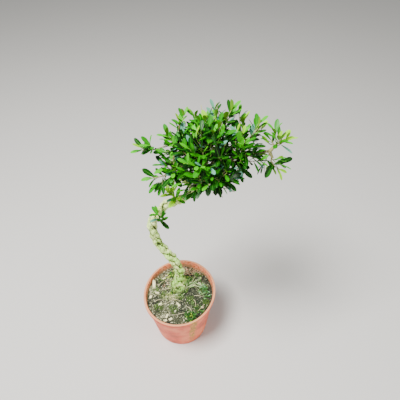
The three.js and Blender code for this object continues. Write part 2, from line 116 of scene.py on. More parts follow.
def start_material(name, **sockets):
    """A material with one principled shader, whose constants are set on its own sockets."""
    material = bpy.data.materials.new(name)
    material.use_nodes = True
    tree = material.node_tree
    tree.nodes.clear()
    shader = add_node(tree, "ShaderNodeBsdfPrincipled")
    for socket, value in sockets.items():
        shader.inputs[socket.replace("_", " ")].default_value = value
    add_node(tree, "ShaderNodeOutputMaterial", {"Surface": shader})
    return material, tree, shader


def plain_material(name, colour, **sockets):
    """A material of one even colour."""
    return start_material(name, Base_Color=linear(colour), **sockets)[0]


def put_in_scene(name, mesh):
    piece = bpy.data.objects.new(name, mesh)
    bpy.context.scene.collection.objects.link(piece)
    return piece


# Matt emulsion paint, rolled: an even pale grey with no gloss.
floor_paint = plain_material("rolled_emulsion_paint", "#d6d3cd", Roughness=0.9)

floor_mesh = bpy.data.meshes.new("floor")
half = FLOOR_SIZE / 2
corners = [(-half, -half, 0), (half, -half, 0), (half, half, 0), (-half, half, 0)]
floor_mesh.from_pydata(corners, [], [(0, 1, 2, 3)])
floor_mesh.materials.append(floor_paint)
floor = put_in_scene("floor", floor_mesh)

world = bpy.data.worlds.new("overcast")
world.use_nodes = True
background = world.node_tree.nodes["Background"]
background.inputs["Color"].default_value = linear(SKY_COLOUR)
background.inputs["Strength"].default_value = SKY_STRENGTH
bpy.context.scene.world = world

for name, place, size, power in LAMPS:
    lamp_data = bpy.data.lights.new(name, "AREA")
    lamp_data.size = size * MM
    lamp_data.energy = power
    lamp = bpy.data.objects.new(name, lamp_data)
    lamp.location = Vector(place) * MM
    lamp.rotation_euler = (PLANT_MIDDLE - lamp.location).to_track_quat("-Z", "Y").to_euler()
    bpy.context.scene.collection.objects.link(lamp)


# Pot
# A thin nursery pot, injection-moulded in terracotta-coloured polypropylene. It tapers so that pots
# stack, its rim is rolled, six drain holes pierce its floor, and its mouth is squeezed out of round.

POT_HEIGHT = 88.0
POT_RIM = 52.7
POT_FOOT = 37.9
POT_WALL = 1.6
POT_FLOOR = 2.4
POT_LIP_HEIGHT = 3.6
POT_LIP_WIDTH = 1.3
POT_CHAMFER = 1.2
POT_MOUTH_DEPTH = 4.0
POT_CORNER_HEIGHT = 2.0
POT_CORNER_WIDTH = 1.2
POT_WALL_RINGS = 14
POT_FLOOR_RING = 12.0
POT_SQUEEZE_X = -0.034
POT_SQUEEZE_DIAGONAL = 0.027
POT_SIDES = 144
DRAIN_HOLES = 6
DRAIN_RADIUS = 4.0
DRAIN_CIRCLE = 27.0
DRAIN_SIDES = 24


def wall_radius(height):
    """The wall's outer radius below the lip."""
    under = POT_RIM - POT_LIP_WIDTH
    return POT_FOOT + (under - POT_FOOT) * height / POT_HEIGHT


def squeezed(x, y, z):
    """A point of the round pot, moved as its mouth is squeezed."""
    angle = math.atan2(y, x)
    oval = POT_SQUEEZE_X * math.cos(2 * angle) + POT_SQUEEZE_DIAGONAL * math.sin(2 * angle)
    stretch = 1 + oval * z / POT_HEIGHT
    return x * stretch, y * stretch, z


def arc(centre, radius, start, end, steps):
    """Points of an arc in a turned profile, as radius and height, from one angle in degrees to another."""
    angles = np.radians(np.linspace(start, end, steps + 1))
    return [(centre[0] + radius * math.cos(a), centre[1] + radius * math.sin(a)) for a in angles]


def turned(name, profile, sides):
    """A closed body turned about the pot's axis from a profile that starts and ends on it."""
    vertices = [(0, 0, profile[0][1])]
    for radius, height in profile[1:-1]:
        for k in range(sides):
            angle = 2 * math.pi * k / sides
            vertices.append(squeezed(radius * math.cos(angle), radius * math.sin(angle), height))
    vertices.append((0, 0, profile[-1][1]))
    rings = len(profile) - 2
    last = len(vertices) - 1
    faces = []
    for k in range(sides):
        after = (k + 1) % sides
        faces.append((0, 1 + after, 1 + k))
        faces.append((last, 1 + (rings - 1) * sides + k, 1 + (rings - 1) * sides + after))
        for ring in range(rings - 1):
            low = 1 + ring * sides
            faces.append((low + k, low + after, low + sides + after, low + sides + k))
    mesh = bpy.data.meshes.new(name)
    mesh.from_pydata([Vector(v) * MM for v in vertices], [], faces)
    mesh.shade_smooth()
    return put_in_scene(name, mesh)


def pot_profile():
    """The wall's section, from the middle of its underside round the rim to the middle of its floor."""
    inner = wall_radius(POT_HEIGHT) - POT_WALL
    under_lip = POT_HEIGHT - POT_LIP_HEIGHT
    round_over = POT_LIP_WIDTH / 2
    wall_heights = np.linspace(POT_CHAMFER, under_lip - round_over, POT_WALL_RINGS)
    mouth = POT_HEIGHT - POT_MOUTH_DEPTH
    inner_heights = np.linspace(mouth, POT_FLOOR + POT_CORNER_HEIGHT, POT_WALL_RINGS)
    foot = (POT_FOOT - POT_CHAMFER, POT_CHAMFER)
    return [
        (0, 0),
        (POT_FLOOR_RING, 0),
        (POT_FOOT - POT_CHAMFER, 0),
        *arc(foot, POT_CHAMFER, -70, -5, 4),
        *[(wall_radius(z), z) for z in wall_heights[1:]],
        *arc((POT_RIM - round_over, under_lip), round_over, -60, 0, 4),
        *arc((POT_RIM - round_over, POT_HEIGHT - round_over), round_over, 0, 90, 6),
        *arc((inner + round_over, POT_HEIGHT - round_over), round_over, 90, 180, 6),
        *[(wall_radius(z) - POT_WALL, z) for z in inner_heights],
        (wall_radius(POT_FLOOR) - POT_WALL - POT_CORNER_WIDTH, POT_FLOOR),
        (0, POT_FLOOR),
    ]


def drilled(piece):
    """Cuts the drain holes through the pot's floor."""
    mesh = bpy.data.meshes.new("drills")
    shape = bmesh.new()
    for k in range(DRAIN_HOLES):
        angle = 2 * math.pi * k / DRAIN_HOLES
        place = Vector((DRAIN_CIRCLE * math.cos(angle), DRAIN_CIRCLE * math.sin(angle), 0)) * MM
        bmesh.ops.create_cone(
            shape, cap_ends=True, segments=DRAIN_SIDES, radius1=DRAIN_RADIUS * MM,
            radius2=DRAIN_RADIUS * MM, depth=4 * POT_FLOOR * MM, matrix=Matrix.Translation(place),
        )
    shape.to_mesh(mesh)
    shape.free()
    drills = put_in_scene("drills", mesh)
    cut = piece.modifiers.new("drain_holes", "BOOLEAN")
    cut.operation = "DIFFERENCE"
    cut.solver = "EXACT"
    cut.object = drills
    made_plain(piece)
    bpy.data.objects.remove(drills)


def made_plain(piece):
    """Turns a piece's modifiers into its mesh."""
    evaluated = piece.evaluated_get(bpy.context.evaluated_depsgraph_get())
    mesh = bpy.data.meshes.new_from_object(evaluated)
    piece.modifiers.clear()
    piece.data = mesh


def grain(size):
    """The scale of a noise whose grains are about this many millimetres wide."""
    return 1 / (size * MM)


# Polypropylene, injection-moulded and then years outdoors: it has bleached unevenly to salmon, its half-dull
# skin is scuffed and dusty, and algae have run down it where water spills over the rim. The top edge of its
# rim is paler, a painted highlight.
FADED_PLASTIC = [(0.36, "#c23a1a"), (0.5, "#f05a30"), (0.64, "#ff8a5c")]
# The colour of the rim's top edge: a painted highlight.
RIM_PAINTED_HIGHLIGHT = "#dca070"
DUST = "#ecc090"
ALGAE = "#d0941a"
ALGAE_SPECKS = "#5e5326"
ALGAE_ANGLE = -66
ALGAE_HALF_WIDTH = 7.14


def fill_ramp(ramp_node, stops):
    """Sets a colour ramp's stops from pairs of place and colour."""
    ramp = ramp_node.color_ramp
    while len(ramp.elements) < len(stops):
        ramp.elements.new(0.5)
    for element, (place, colour) in zip(ramp.elements, stops):
        element.position = place
        element.color = linear(colour)


plastic, tree, shader = start_material("weathered_polypropylene", IOR=1.49)
where = add_node(tree, "ShaderNodeTexCoord").outputs["Object"]
parts = add_node(tree, "ShaderNodeSeparateXYZ", {"Vector": where})
patches = add_node(tree, "ShaderNodeTexNoise", {
    "Vector": where, "Scale": grain(34), "Detail": 5.0, "Roughness": 0.6,
})
faded = add_node(tree, "ShaderNodeValToRGB", {"Fac": patches})
fill_ramp(faded, FADED_PLASTIC)
specks = add_node(tree, "ShaderNodeTexNoise", {
    "Vector": where, "Scale": grain(2.6), "Detail": 6.0, "Roughness": 0.7,
})
towards_right = add_node(tree, "ShaderNodeMapRange", {
    "Value": parts.outputs["X"], "From Min": -20 * MM, "From Max": 45 * MM, "To Min": 0.3, "To Max": 1.0,
})
dusty = add_node(tree, "ShaderNodeMapRange", {
    "Value": specks, "From Min": 0.46, "From Max": 0.68, "To Min": 0.0, "To Max": 0.45,
})
dust_share = add_node(tree, "ShaderNodeMath", {0: dusty, 1: towards_right}, operation="MULTIPLY")
dusted = add_node(tree, "ShaderNodeMix", {
    "Factor": dust_share, "A": faded, "B": linear(DUST),
}, data_type="RGBA")

turned_to_streak = add_node(tree, "ShaderNodeMapping", {
    "Vector": where, "Rotation": (0, 0, math.radians(-ALGAE_ANGLE)),
})
streak = add_node(tree, "ShaderNodeSeparateXYZ", {"Vector": turned_to_streak})
drips = add_node(tree, "ShaderNodeMapping", {"Vector": where, "Scale": (1.0, 1.0, 0.4)})
wander = add_node(tree, "ShaderNodeTexNoise", {"Vector": drips, "Scale": grain(3.8), "Detail": 5.0})
off_line = add_node(tree, "ShaderNodeMath", {0: streak.outputs["Y"]}, operation="ABSOLUTE")
near_line = add_node(tree, "ShaderNodeMapRange", {
    "Value": off_line, "From Min": 0.0, "From Max": ALGAE_HALF_WIDTH * MM, "To Min": 1.2, "To Max": 0.0,
})
in_front = add_node(tree, "ShaderNodeMath", {0: streak.outputs["X"], 1: 0.0}, operation="GREATER_THAN")
dried_up = add_node(tree, "ShaderNodeMapRange", {
    "Value": parts.outputs["Z"], "From Min": 8 * MM, "From Max": 48 * MM, "To Min": 0.1, "To Max": 1.0,
})
run_down = add_node(tree, "ShaderNodeMath", {0: in_front, 1: dried_up}, operation="MULTIPLY")
patchy = add_node(tree, "ShaderNodeMapRange", {
    "Value": wander, "From Min": 0.37, "From Max": 0.51, "To Min": 0.0, "To Max": 1.7,
})
in_patches = add_node(tree, "ShaderNodeMath", {0: near_line, 1: patchy}, operation="MULTIPLY")
streak_share = add_node(tree, "ShaderNodeMath", {
    0: in_patches, 1: run_down,
}, operation="MULTIPLY", use_clamp=True)
speck_share = add_node(tree, "ShaderNodeMapRange", {
    "Value": specks, "From Min": 0.5, "From Max": 0.58, "To Min": 0.0, "To Max": 0.8,
})
algae = add_node(tree, "ShaderNodeMix", {
    "Factor": speck_share, "A": linear(ALGAE), "B": linear(ALGAE_SPECKS),
}, data_type="RGBA")
streaked = add_node(tree, "ShaderNodeMix", {
    "Factor": streak_share, "A": dusted, "B": algae,
}, data_type="RGBA")

# The top half millimetre of the rim turns pale: a painted highlight.
painted_rim_highlight = add_node(tree, "ShaderNodeMapRange", {
    "Value": parts.outputs["Z"], "From Min": (POT_HEIGHT - 0.5) * MM,
    "From Max": POT_HEIGHT * MM, "To Min": 0.0, "To Max": 0.8,
})
rim_highlighted = add_node(tree, "ShaderNodeMix", {
    "Factor": painted_rim_highlight, "A": streaked, "B": linear(RIM_PAINTED_HIGHLIGHT),
}, data_type="RGBA")
tree.links.new(rim_highlighted.outputs["Result"], shader.inputs["Base Color"])
dull = add_node(tree, "ShaderNodeMapRange", {
    "Value": specks, "From Min": 0.3, "From Max": 0.7, "To Min": 0.38, "To Max": 0.7,
})
tree.links.new(dull.outputs[0], shader.inputs["Roughness"])
scuffs = add_node(tree, "ShaderNodeBump", {"Height": specks, "Strength": 0.5, "Distance": 0.25 * MM})
tree.links.new(scuffs.outputs[0], shader.inputs["Normal"])

# The same plastic inside the mouth, painted paler all over as painted light where the sun falls in, with
# brown rings and specks of dirt that the soil has left.
INNER_PLASTIC_PAINTED_LIT = [(0.36, "#984420"), (0.45, "#ff7e4a"), (0.6, "#ffb48a")]
SPLASHED = "#a88660"

lit_lining, tree, shader = start_material("stained_polypropylene_painted_lit", Roughness=0.6, IOR=1.49)
where = add_node(tree, "ShaderNodeTexCoord").outputs["Object"]
parts = add_node(tree, "ShaderNodeSeparateXYZ", {"Vector": where})
specks = add_node(tree, "ShaderNodeTexNoise", {
    "Vector": where, "Scale": grain(3.0), "Detail": 6.0, "Roughness": 0.65,
})
mottled = add_node(tree, "ShaderNodeValToRGB", {"Fac": specks})
fill_ramp(mottled, INNER_PLASTIC_PAINTED_LIT)
blotches = add_node(tree, "ShaderNodeTexNoise", {"Vector": where, "Scale": grain(8.0), "Detail": 4.0})
dirt_line = add_node(tree, "ShaderNodeMapRange", {
    "Value": parts.outputs["Z"], "From Min": 79.5 * MM, "From Max": 85 * MM, "To Min": 0.3, "To Max": -0.14,
})
dirt = add_node(tree, "ShaderNodeMath", {0: blotches, 1: dirt_line}, operation="ADD")
dirt_share = add_node(tree, "ShaderNodeMapRange", {
    "Value": dirt, "From Min": 0.5, "From Max": 0.72, "To Min": 0.0, "To Max": 0.85,
})
lined = add_node(tree, "ShaderNodeMix", {
    "Factor": dirt_share, "A": mottled, "B": linear(SPLASHED),
}, data_type="RGBA")
tree.links.new(lined.outputs["Result"], shader.inputs["Base Color"])


def settled(piece, slot, *nodes):
    """Rides a finished piece on the plant's one body, in place of the solids that it stands for."""
    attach(piece, "root")
    if nodes:
        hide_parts(*nodes)


pot = turned("pot_shell", pot_profile(), POT_SIDES)
drilled(pot)
pot.data.materials.clear()
pot.data.materials.append(plastic)
pot.data.materials.append(lit_lining)
# Faces that look inward take the paler lining: painted light inside the mouth.
for face in pot.data.polygons:
    inward = -(face.normal.x * face.center.x + face.normal.y * face.center.y)
    face.material_index = int(inward > 0.5 * face.center.xy.length)
pot.data.shade_smooth()
settled(pot, "pot_plastic", "pot")


# Soil
# Gritty potting soil, level in the middle and washed down a little at the wall, with moss where it
# stays damp. Four values on each point say how mossy, stony and sandy it is there, and how young the moss.

SOIL_TOP = 80.5
SOIL_LEVEL_RADIUS = 30.0
SOIL_EDGE_DROP = 2.0
SOIL_CLEARANCE = 0.3
SOIL_RINGS = 60
SOIL_SIDES = 168
SOIL_LOOSE = 1.3
CLOD_WIDTH = 9.0
CLOD_HEIGHT = 1.1
CRUMB_WIDTH = 3.1
CRUMB_HEIGHT = 0.8
GRAIN_WIDTH = 1.6
GRAIN_HEIGHT = 0.5
MOUND_HEIGHT = 2.0
# How ragged the moss is at a mound's edge, and how soon it is full inside that.
MOSS_RAGGED = 2.5
MOSS_RAGGED_WIDTH = 5.0
MOSS_FULLNESS = 1.6
# Where each mossy mound lies, and how far it reaches.
MOSSY_MOUNDS = [
    ((-1, -4), 9), ((-22, -2), 8), ((-12, 31), 8), ((16, 21), 9), ((33, 8), 10), ((14, -35), 9),
    ((36, -14), 8), ((15, -10), 8), ((26, 32), 7), ((-30, -20), 8), ((-37, 8), 8), ((-28, 24), 8),
    ((-9, -24), 8), ((24, -24), 7),
]
TRUNK_STANDS = (-1.9, 11.6)
FOOT_RADIUS = 14.0
FOOT_RAMP = 6.0
# Places of patches on the soil, each with its reach to the sides and to the back.
YOUNG_CUSHION = ((-13, -5), (11, 4.5))
SAND_HEAP = ((15, 40), (13, 6))
SAND_TRACE = ((-22, 22), (20, 20))
THIN_SAND = 0.35
YOUNG_RING = 8.0
YOUNG_RING_WIDTH = 3.5
# How stony the soil is on the whole, how much that varies, how wide its patches are, and how much stonier
# it gets with each millimetre to the left and to the back.
STONY = 0.33
STONY_CONTRAST = 1.4
STONY_PATCHES = 14.0
STONIER_LEFT = 0.012
STONIER_BACK = 0.004


def soil_radius(height):
    return wall_radius(height) - POT_WALL - SOIL_CLEARANCE


def share_of(value):
    """A value kept between none and all."""
    return min(1.0, max(0.0, value))


def swells(x, y, width, layer):
    """A smooth noise over the soil, whose swells are about this many millimetres wide."""
    return noise.noise(Vector((x, y, layer)) / width)


def how_far_out(x, y, place, reach):
    """How far out of a patch's middle a place lies, as a share of the patch's reach."""
    return math.hypot((x - place[0]) / reach[0], (y - place[1]) / reach[1])


def soil_height(x, y):
    """The soil's top: mossy mounds but for the trunk's foot, clods some 9 mm wide, and crumbs on them."""
    slope = share_of((math.hypot(x, y) - SOIL_LEVEL_RADIUS) / (soil_edge - SOIL_LEVEL_RADIUS))
    rise = max(0.0, *(1 - math.dist((x, y), place) / reach for place, reach in MOSSY_MOUNDS))
    beyond = share_of((math.dist((x, y), TRUNK_STANDS) - FOOT_RADIUS) / FOOT_RAMP)
    mound = MOUND_HEIGHT * math.sin(math.pi / 2 * rise) * beyond
    clods = CLOD_HEIGHT * swells(x, y, CLOD_WIDTH, 3.0)
    crumbs = CRUMB_HEIGHT * swells(x, y, CRUMB_WIDTH, 7.0) + GRAIN_HEIGHT * swells(x, y, GRAIN_WIDTH, 1.0)
    return SOIL_TOP - SOIL_EDGE_DROP * slope + mound + clods + crumbs - SOIL_LOOSE


def mossiness(x, y):
    """How mossy the soil is: 1 in the middle of a mound, and 0 outside all of them."""
    ragged = MOSS_RAGGED * swells(x, y, MOSS_RAGGED_WIDTH, 5.0)
    depth = [1 - (math.dist((x, y), place) + ragged) / reach for place, reach in MOSSY_MOUNDS]
    return share_of(MOSS_FULLNESS * max(depth))


def brightness(x, y):
    """Where the moss is young and yellow: in a cushion before the trunk's foot and close round it."""
    cushion = 1.5 - how_far_out(x, y, *YOUNG_CUSHION)
    round_foot = 1 - abs(math.dist((x, y), TRUNK_STANDS) - YOUNG_RING) / YOUNG_RING_WIDTH
    return share_of(max(cushion, 0.8 * round_foot + 0.7 * swells(x, y, 4.0, 2.0)))


def stoniness(x, y):
    """How much of the soil lies under pale grit: patches some 14 mm wide, most of them on the left."""
    patchy = swells(x, y, STONY_PATCHES, 9.0)
    return share_of(STONY + STONY_CONTRAST * patchy - STONIER_LEFT * x + STONIER_BACK * y)


def sandiness(x, y):
    """How much warm sand lies there: one heap at the back, and thin traces at the back left."""
    heap = 1.9 - how_far_out(x, y, *SAND_HEAP)
    trace = THIN_SAND - how_far_out(x, y, *SAND_TRACE) * THIN_SAND
    return share_of(max(heap, trace))


soil_bottom = POT_FLOOR + SOIL_CLEARANCE
soil_rim = SOIL_TOP - SOIL_EDGE_DROP
soil_edge = soil_radius(soil_rim)
soil_profile = [(0, soil_bottom), (soil_radius(soil_bottom), soil_bottom)]
soil_profile += [(soil_radius(z), z) for z in np.linspace(12, soil_rim - 3, 6)]
soil_profile += [(soil_edge * (1 - k / SOIL_RINGS), SOIL_TOP) for k in range(SOIL_RINGS)]
soil_profile += [(0, SOIL_TOP)]
soil = turned("soil_bed", soil_profile, SOIL_SIDES)
for vertex in soil.data.vertices:
    x, y, z = vertex.co / MM
    if z > soil_rim:
        vertex.co.z = soil_height(x, y) * MM
shares = {"moss": mossiness, "bright_moss": brightness, "stones": stoniness, "sand": sandiness}
for label, share_at in shares.items():
    share = soil.data.attributes.new(label, "FLOAT", "POINT")
    share.data.foreach_set("value", [share_at(v.co.x / MM, v.co.y / MM) for v in soil.data.vertices])

# Peat and loam potting soil, sieved and watered for years: dark in the hollows, partly damp and partly
# painted shade, grey-brown on its crumbs, and stained green where moss has taken hold.
SOIL_AND_HOLLOW_SHADE_COLOURS = [(0.36, "#080a07"), (0.5, "#22261c"), (0.64, "#5f6148")]
SOIL_STONY = "#686947"
STONY_TINT = 0.6
SOIL_MOSS = "#3d5c1c"
MOSS_TINT = 0.7

loam, tree, shader = start_material("gritty_loam", Roughness=0.95, IOR=1.45)
where = add_node(tree, "ShaderNodeTexCoord").outputs["Object"]
crumbs = add_node(tree, "ShaderNodeTexNoise", {
    "Vector": where, "Scale": grain(2.2), "Detail": 6.0, "Roughness": 0.7,
})
# Where the crumbs' bump is low the soil goes nearly black: partly damp soil and partly painted shade in the
# hollows.
earth_and_hollow_shade = add_node(tree, "ShaderNodeValToRGB", {"Fac": crumbs})
fill_ramp(earth_and_hollow_shade, SOIL_AND_HOLLOW_SHADE_COLOURS)
stony = add_node(tree, "ShaderNodeAttribute", attribute_name="stones")
stone_tint = add_node(tree, "ShaderNodeMath", {
    0: stony.outputs["Fac"], 1: STONY_TINT,
}, operation="MULTIPLY")
stoned = add_node(tree, "ShaderNodeMix", {
    "Factor": stone_tint, "A": earth_and_hollow_shade, "B": linear(SOIL_STONY),
}, data_type="RGBA")
mossy = add_node(tree, "ShaderNodeAttribute", attribute_name="moss")
moss_tint = add_node(tree, "ShaderNodeMath", {
    0: mossy.outputs["Fac"], 1: MOSS_TINT,
}, operation="MULTIPLY")
greened = add_node(tree, "ShaderNodeMix", {
    "Factor": moss_tint, "A": stoned, "B": linear(SOIL_MOSS),
}, data_type="RGBA")
tree.links.new(greened.outputs["Result"], shader.inputs["Base Color"])
rough = add_node(tree, "ShaderNodeBump", {"Height": crumbs, "Strength": 0.8, "Distance": 0.6 * MM})
tree.links.new(rough.outputs[0], shader.inputs["Normal"])
soil.data.materials.append(loam)
settled(soil, "soil", "soil")


# Grit
# Loose crumbs and sand that lie on the soil: dark, olive and pale grains one to three millimetres
# across, and flat pale flakes of pumice and wood up to five millimetres long.

# The soil's top in square metres, by which a count of grains becomes a density.
SOIL_AREA = 0.0075
# How far upwards the ground has to face for anything to lie on it, and how broad a grain's dents are.
FLATTEST_GROUND = 0.35
GRAIN_DENTS = 1.8


def scatter_tree(name, material, shape):
    """A tree that strews rough grains, or leaflets, over the top of a ground and makes them real."""
    tree = bpy.data.node_groups.new(name, "GeometryNodeTree")
    tree.interface.new_socket("Ground", in_out="INPUT", socket_type="NodeSocketGeometry")
    for label, kind in [
        ("Density", "NodeSocketFloat"), ("Seed", "NodeSocketInt"), ("Where", "NodeSocketString"),
        ("Least", "NodeSocketFloat"), ("Most", "NodeSocketFloat"),
        ("Smallest", "NodeSocketVector"), ("Largest", "NodeSocketVector"),
        ("Roughness", "NodeSocketFloat"), ("Lift", "NodeSocketFloat"), ("Tilt", "NodeSocketFloat"),
    ]:
        tree.interface.new_socket(label, in_out="INPUT", socket_type=kind)
    tree.interface.new_socket("Grains", in_out="OUTPUT", socket_type="NodeSocketGeometry")
    given = add_node(tree, "NodeGroupInput").outputs

    normal = add_node(tree, "GeometryNodeInputNormal")
    upright = add_node(tree, "ShaderNodeSeparateXYZ", {"Vector": normal})
    on_top = add_node(tree, "ShaderNodeMath", {
        0: upright.outputs["Z"], 1: FLATTEST_GROUND,
    }, operation="GREATER_THAN")
    there = add_node(tree, "GeometryNodeInputNamedAttribute", {"Name": given["Where"]}, data_type="FLOAT")
    share = add_node(tree, "ShaderNodeMapRange", {
        "Value": there, "To Min": given["Least"], "To Max": given["Most"],
    })
    density = add_node(tree, "ShaderNodeMath", {0: given["Density"], 1: share}, operation="MULTIPLY")
    spread = add_node(tree, "GeometryNodeDistributePointsOnFaces", {
        "Mesh": given["Ground"], "Selection": on_top, "Density": density, "Seed": given["Seed"],
    })
    lifted = add_node(tree, "ShaderNodeVectorMath", {
        0: spread.outputs["Normal"], "Scale": given["Lift"],
    }, operation="SCALE")
    placed = add_node(tree, "GeometryNodeSetPosition", {
        "Geometry": spread.outputs["Points"], "Offset": lifted,
    })
    spin_low = add_node(tree, "ShaderNodeCombineXYZ", {"Z": -math.pi})
    spin_high = add_node(tree, "ShaderNodeCombineXYZ", {"X": given["Tilt"], "Y": given["Tilt"], "Z": math.pi})
    spin = add_node(tree, "FunctionNodeRandomValue", {
        "Min": spin_low, "Max": spin_high, "Seed": given["Seed"],
    }, data_type="FLOAT_VECTOR")
    turned_round = add_node(tree, "FunctionNodeRotateRotation", {
        "Rotation": spread.outputs["Rotation"], "Rotate By": spin,
    }, rotation_space="LOCAL")
    size = add_node(tree, "FunctionNodeRandomValue", {
        "Min": given["Smallest"], "Max": given["Largest"], "Seed": given["Seed"],
    }, data_type="FLOAT_VECTOR")
    if shape == "grain":
        one = add_node(tree, "GeometryNodeMeshIcoSphere", {"Radius": 0.5, "Subdivisions": 2})
    else:
        one = add_node(tree, "GeometryNodeMeshCone", {
            "Vertices": 3, "Radius Top": 0.08, "Radius Bottom": 0.5, "Depth": 1.0,
        })
    many = add_node(tree, "GeometryNodeInstanceOnPoints", {
        "Points": placed, "Instance": one, "Rotation": turned_round, "Scale": size,
    })
    real = add_node(tree, "GeometryNodeRealizeInstances", {"Geometry": many})
    uneven = add_node(tree, "ShaderNodeTexNoise", {"Scale": grain(GRAIN_DENTS), "Detail": 1.0})
    centred = add_node(tree, "ShaderNodeVectorMath", {
        0: uneven.outputs["Color"], 1: (0.5, 0.5, 0.5),
    }, operation="SUBTRACT")
    dented = add_node(tree, "ShaderNodeVectorMath", {
        0: centred, "Scale": given["Roughness"],
    }, operation="SCALE")
    rough = add_node(tree, "GeometryNodeSetPosition", {"Geometry": real, "Offset": dented})
    finished = add_node(tree, "GeometryNodeSetMaterial", {"Geometry": rough, "Material": material})
    add_node(tree, "NodeGroupOutput", {"Grains": finished})
    return tree


def strewn(name, ground, tree, **sizes):
    """Strews a tree's grains over a ground, as a plain mesh of their own."""
    piece = put_in_scene(name, ground.data.copy())
    strew = piece.modifiers.new("strew", "NODES")
    strew.node_group = tree
    for item in tree.interface.items_tree:
        label = item.name.lower()
        if item.in_out == "INPUT" and label in sizes:
            strew[item.identifier] = sizes[label]
    piece.update_tag()
    made_plain(piece)
    piece.data.shade_smooth()
    return piece


def mineral(name, dark, light, roughness):
    """A grain's material, mottled between two colours."""
    material, tree, shader = start_material(name, Roughness=roughness, IOR=1.5)
    where = add_node(tree, "ShaderNodeTexCoord").outputs["Object"]
    mottle = add_node(tree, "ShaderNodeTexNoise", {"Vector": where, "Scale": grain(3.0), "Detail": 3.0})
    ramp = add_node(tree, "ShaderNodeValToRGB", {"Fac": mottle})
    fill_ramp(ramp, [(0.35, dark), (0.65, light)])
    tree.links.new(ramp.outputs["Color"], shader.inputs["Base Color"])
    return material


# Crushed lava and peat crumbs: dark, open-pored and dull.
dark_crumbs = mineral("peat_crumbs", "#1b1f16", "#4e543a", 0.95)
# Dry loam and old bark: olive-brown and dull.
olive_crumbs = mineral("loam_and_old_bark", "#464b37", "#8c9270", 0.95)
# Perlite, pumice and dry wood: pale, chalky and dull, browned in spots.
pale_crumbs = mineral("pumice_and_dry_wood", "#99956e", "#f4f1cc", 0.85)
# Brick-coloured sand and grit: granular and dull.
warm_sand = mineral("warm_sand", "#b9805c", "#ffdcb0", 0.9)

grains = scatter_tree("strewn_crumbs", dark_crumbs, "grain")
olive_grains = scatter_tree("strewn_loam", olive_crumbs, "grain")
pale_grains = scatter_tree("strewn_pumice", pale_crumbs, "grain")
warm_grains = scatter_tree("strewn_sand", warm_sand, "grain")
# Each row has a number and a seed, what the grains follow, their least and most share there, and two sizes.
for name, tree, count, seed, where, least, most, smallest, largest in [
    ("crumbs_dark", grains, 1500, 3, "stones", 1.0, 0.25, (1.0, 0.9, 0.8), (2.8, 2.4, 1.8)),
    ("crumbs_olive", olive_grains, 1500, 5, "stones", 0.2, 1.0, (0.9, 0.8, 0.7), (2.6, 2.0, 1.5)),
    ("crumbs_pale", pale_grains, 1250, 8, "stones", 0.28, 1.0, (0.7, 0.6, 0.5), (2.1, 1.5, 1.2)),
    ("sand_warm", warm_grains, 4200, 15, "sand", 0.0, 1.0, (0.7, 0.6, 0.5), (1.9, 1.5, 1.1)),
    ("chips_pale", pale_grains, 90, 12, "stones", 0.05, 1.0, (2.6, 1.3, 0.8), (5.0, 2.4, 1.4)),
]:
    crumbs = strewn(
        name, soil, tree, density=count / SOIL_AREA, seed=seed, where=where, least=least, most=most,
        smallest=[s * MM for s in smallest], largest=[s * MM for s in largest],
        roughness=1.1 * MM, lift=0.25 * MM, tilt=0.6,
    )
    settled(crumbs, "soil")


# Bark chips
# The largest chips of stripped bark and pumice, each lying where it was dropped. The first and longest
# one, by the wall, is tipped up at its back end.

# Where each lies, its length, width and thickness, and the way that it points in degrees.
BARK_CHIPS = [
    ((-38.2, 14.5), (15.0, 4.6, 2.2), 94), ((-33, 2), (6.5, 3.0, 2.2), -10),
    ((-42, -3), (6.0, 3.4, 2.2), 80), ((-2, -17), (7.5, 3.2, 2.4), -50),
    ((-17, -34), (7.0, 3.0, 2.2), 70), ((-12, -39), (5.5, 3.4, 2.4), 40),
    ((-19, -41), (5.0, 3.2, 2.2), 10), ((-27, -17), (5.0, 3.0, 2.2), 15),
    ((30, 27), (4.5, 2.6, 2.2), 80), ((32, -21), (5.0, 3.0, 2.2), 45), ((-24, 26), (5.0, 3.0, 2.2), 20),
]
CHIP_RISE = 0.35
CHIP_ROLL = 8
FIRST_CHIP_LEAN = 16
LIFT_PER_DEGREE = 0.14
CHIP_SQUARENESS = 0.55
CHIP_DENTS = 0.16

# Bleached wood and pumice: chalky, dull, cream with a little brown.
chip_wood = mineral("bleached_wood", "#c9c48c", "#fff8c4", 0.85)

shape = bmesh.new()
for k, ((x, y), (length, width, thick), heading) in enumerate(BARK_CHIPS):
    lean = FIRST_CHIP_LEAN if k == 0 else 0
    height = soil_height(x, y) + CHIP_RISE * thick + LIFT_PER_DEGREE * lean
    lie = Matrix.Translation(Vector((x, y, height)) * MM)
    lie @= Matrix.Rotation(math.radians(heading), 4, "Z")
    lie @= Matrix.Rotation(math.radians(CHIP_ROLL * math.sin(k)), 4, "X")
    lie @= Matrix.Rotation(math.radians(-lean), 4, "Y")
    lie @= Matrix.Diagonal((length * MM, width * MM, thick * MM, 1))
    made = bmesh.ops.create_icosphere(shape, subdivisions=3, radius=0.5, matrix=Matrix.Identity(4))
    for vertex in made["verts"]:
        boxy = vertex.co / max(abs(c) for c in vertex.co) * 0.5
        dent = noise.noise_vector(vertex.co * 3.0 + Vector((7.0 * k, 0, 0))) * CHIP_DENTS
        vertex.co = lie @ (vertex.co.lerp(boxy, CHIP_SQUARENESS) + dent)
mesh = bpy.data.meshes.new("bark_chips")
shape.to_mesh(mesh)
shape.free()
mesh.materials.append(chip_wood)
mesh.shade_smooth()
bark_chips = put_in_scene("bark_chips", mesh)
settled(bark_chips, "soil")


# Moss
# Cushion moss: dense upright leaflets two or three millimetres tall, brightest where they are young.

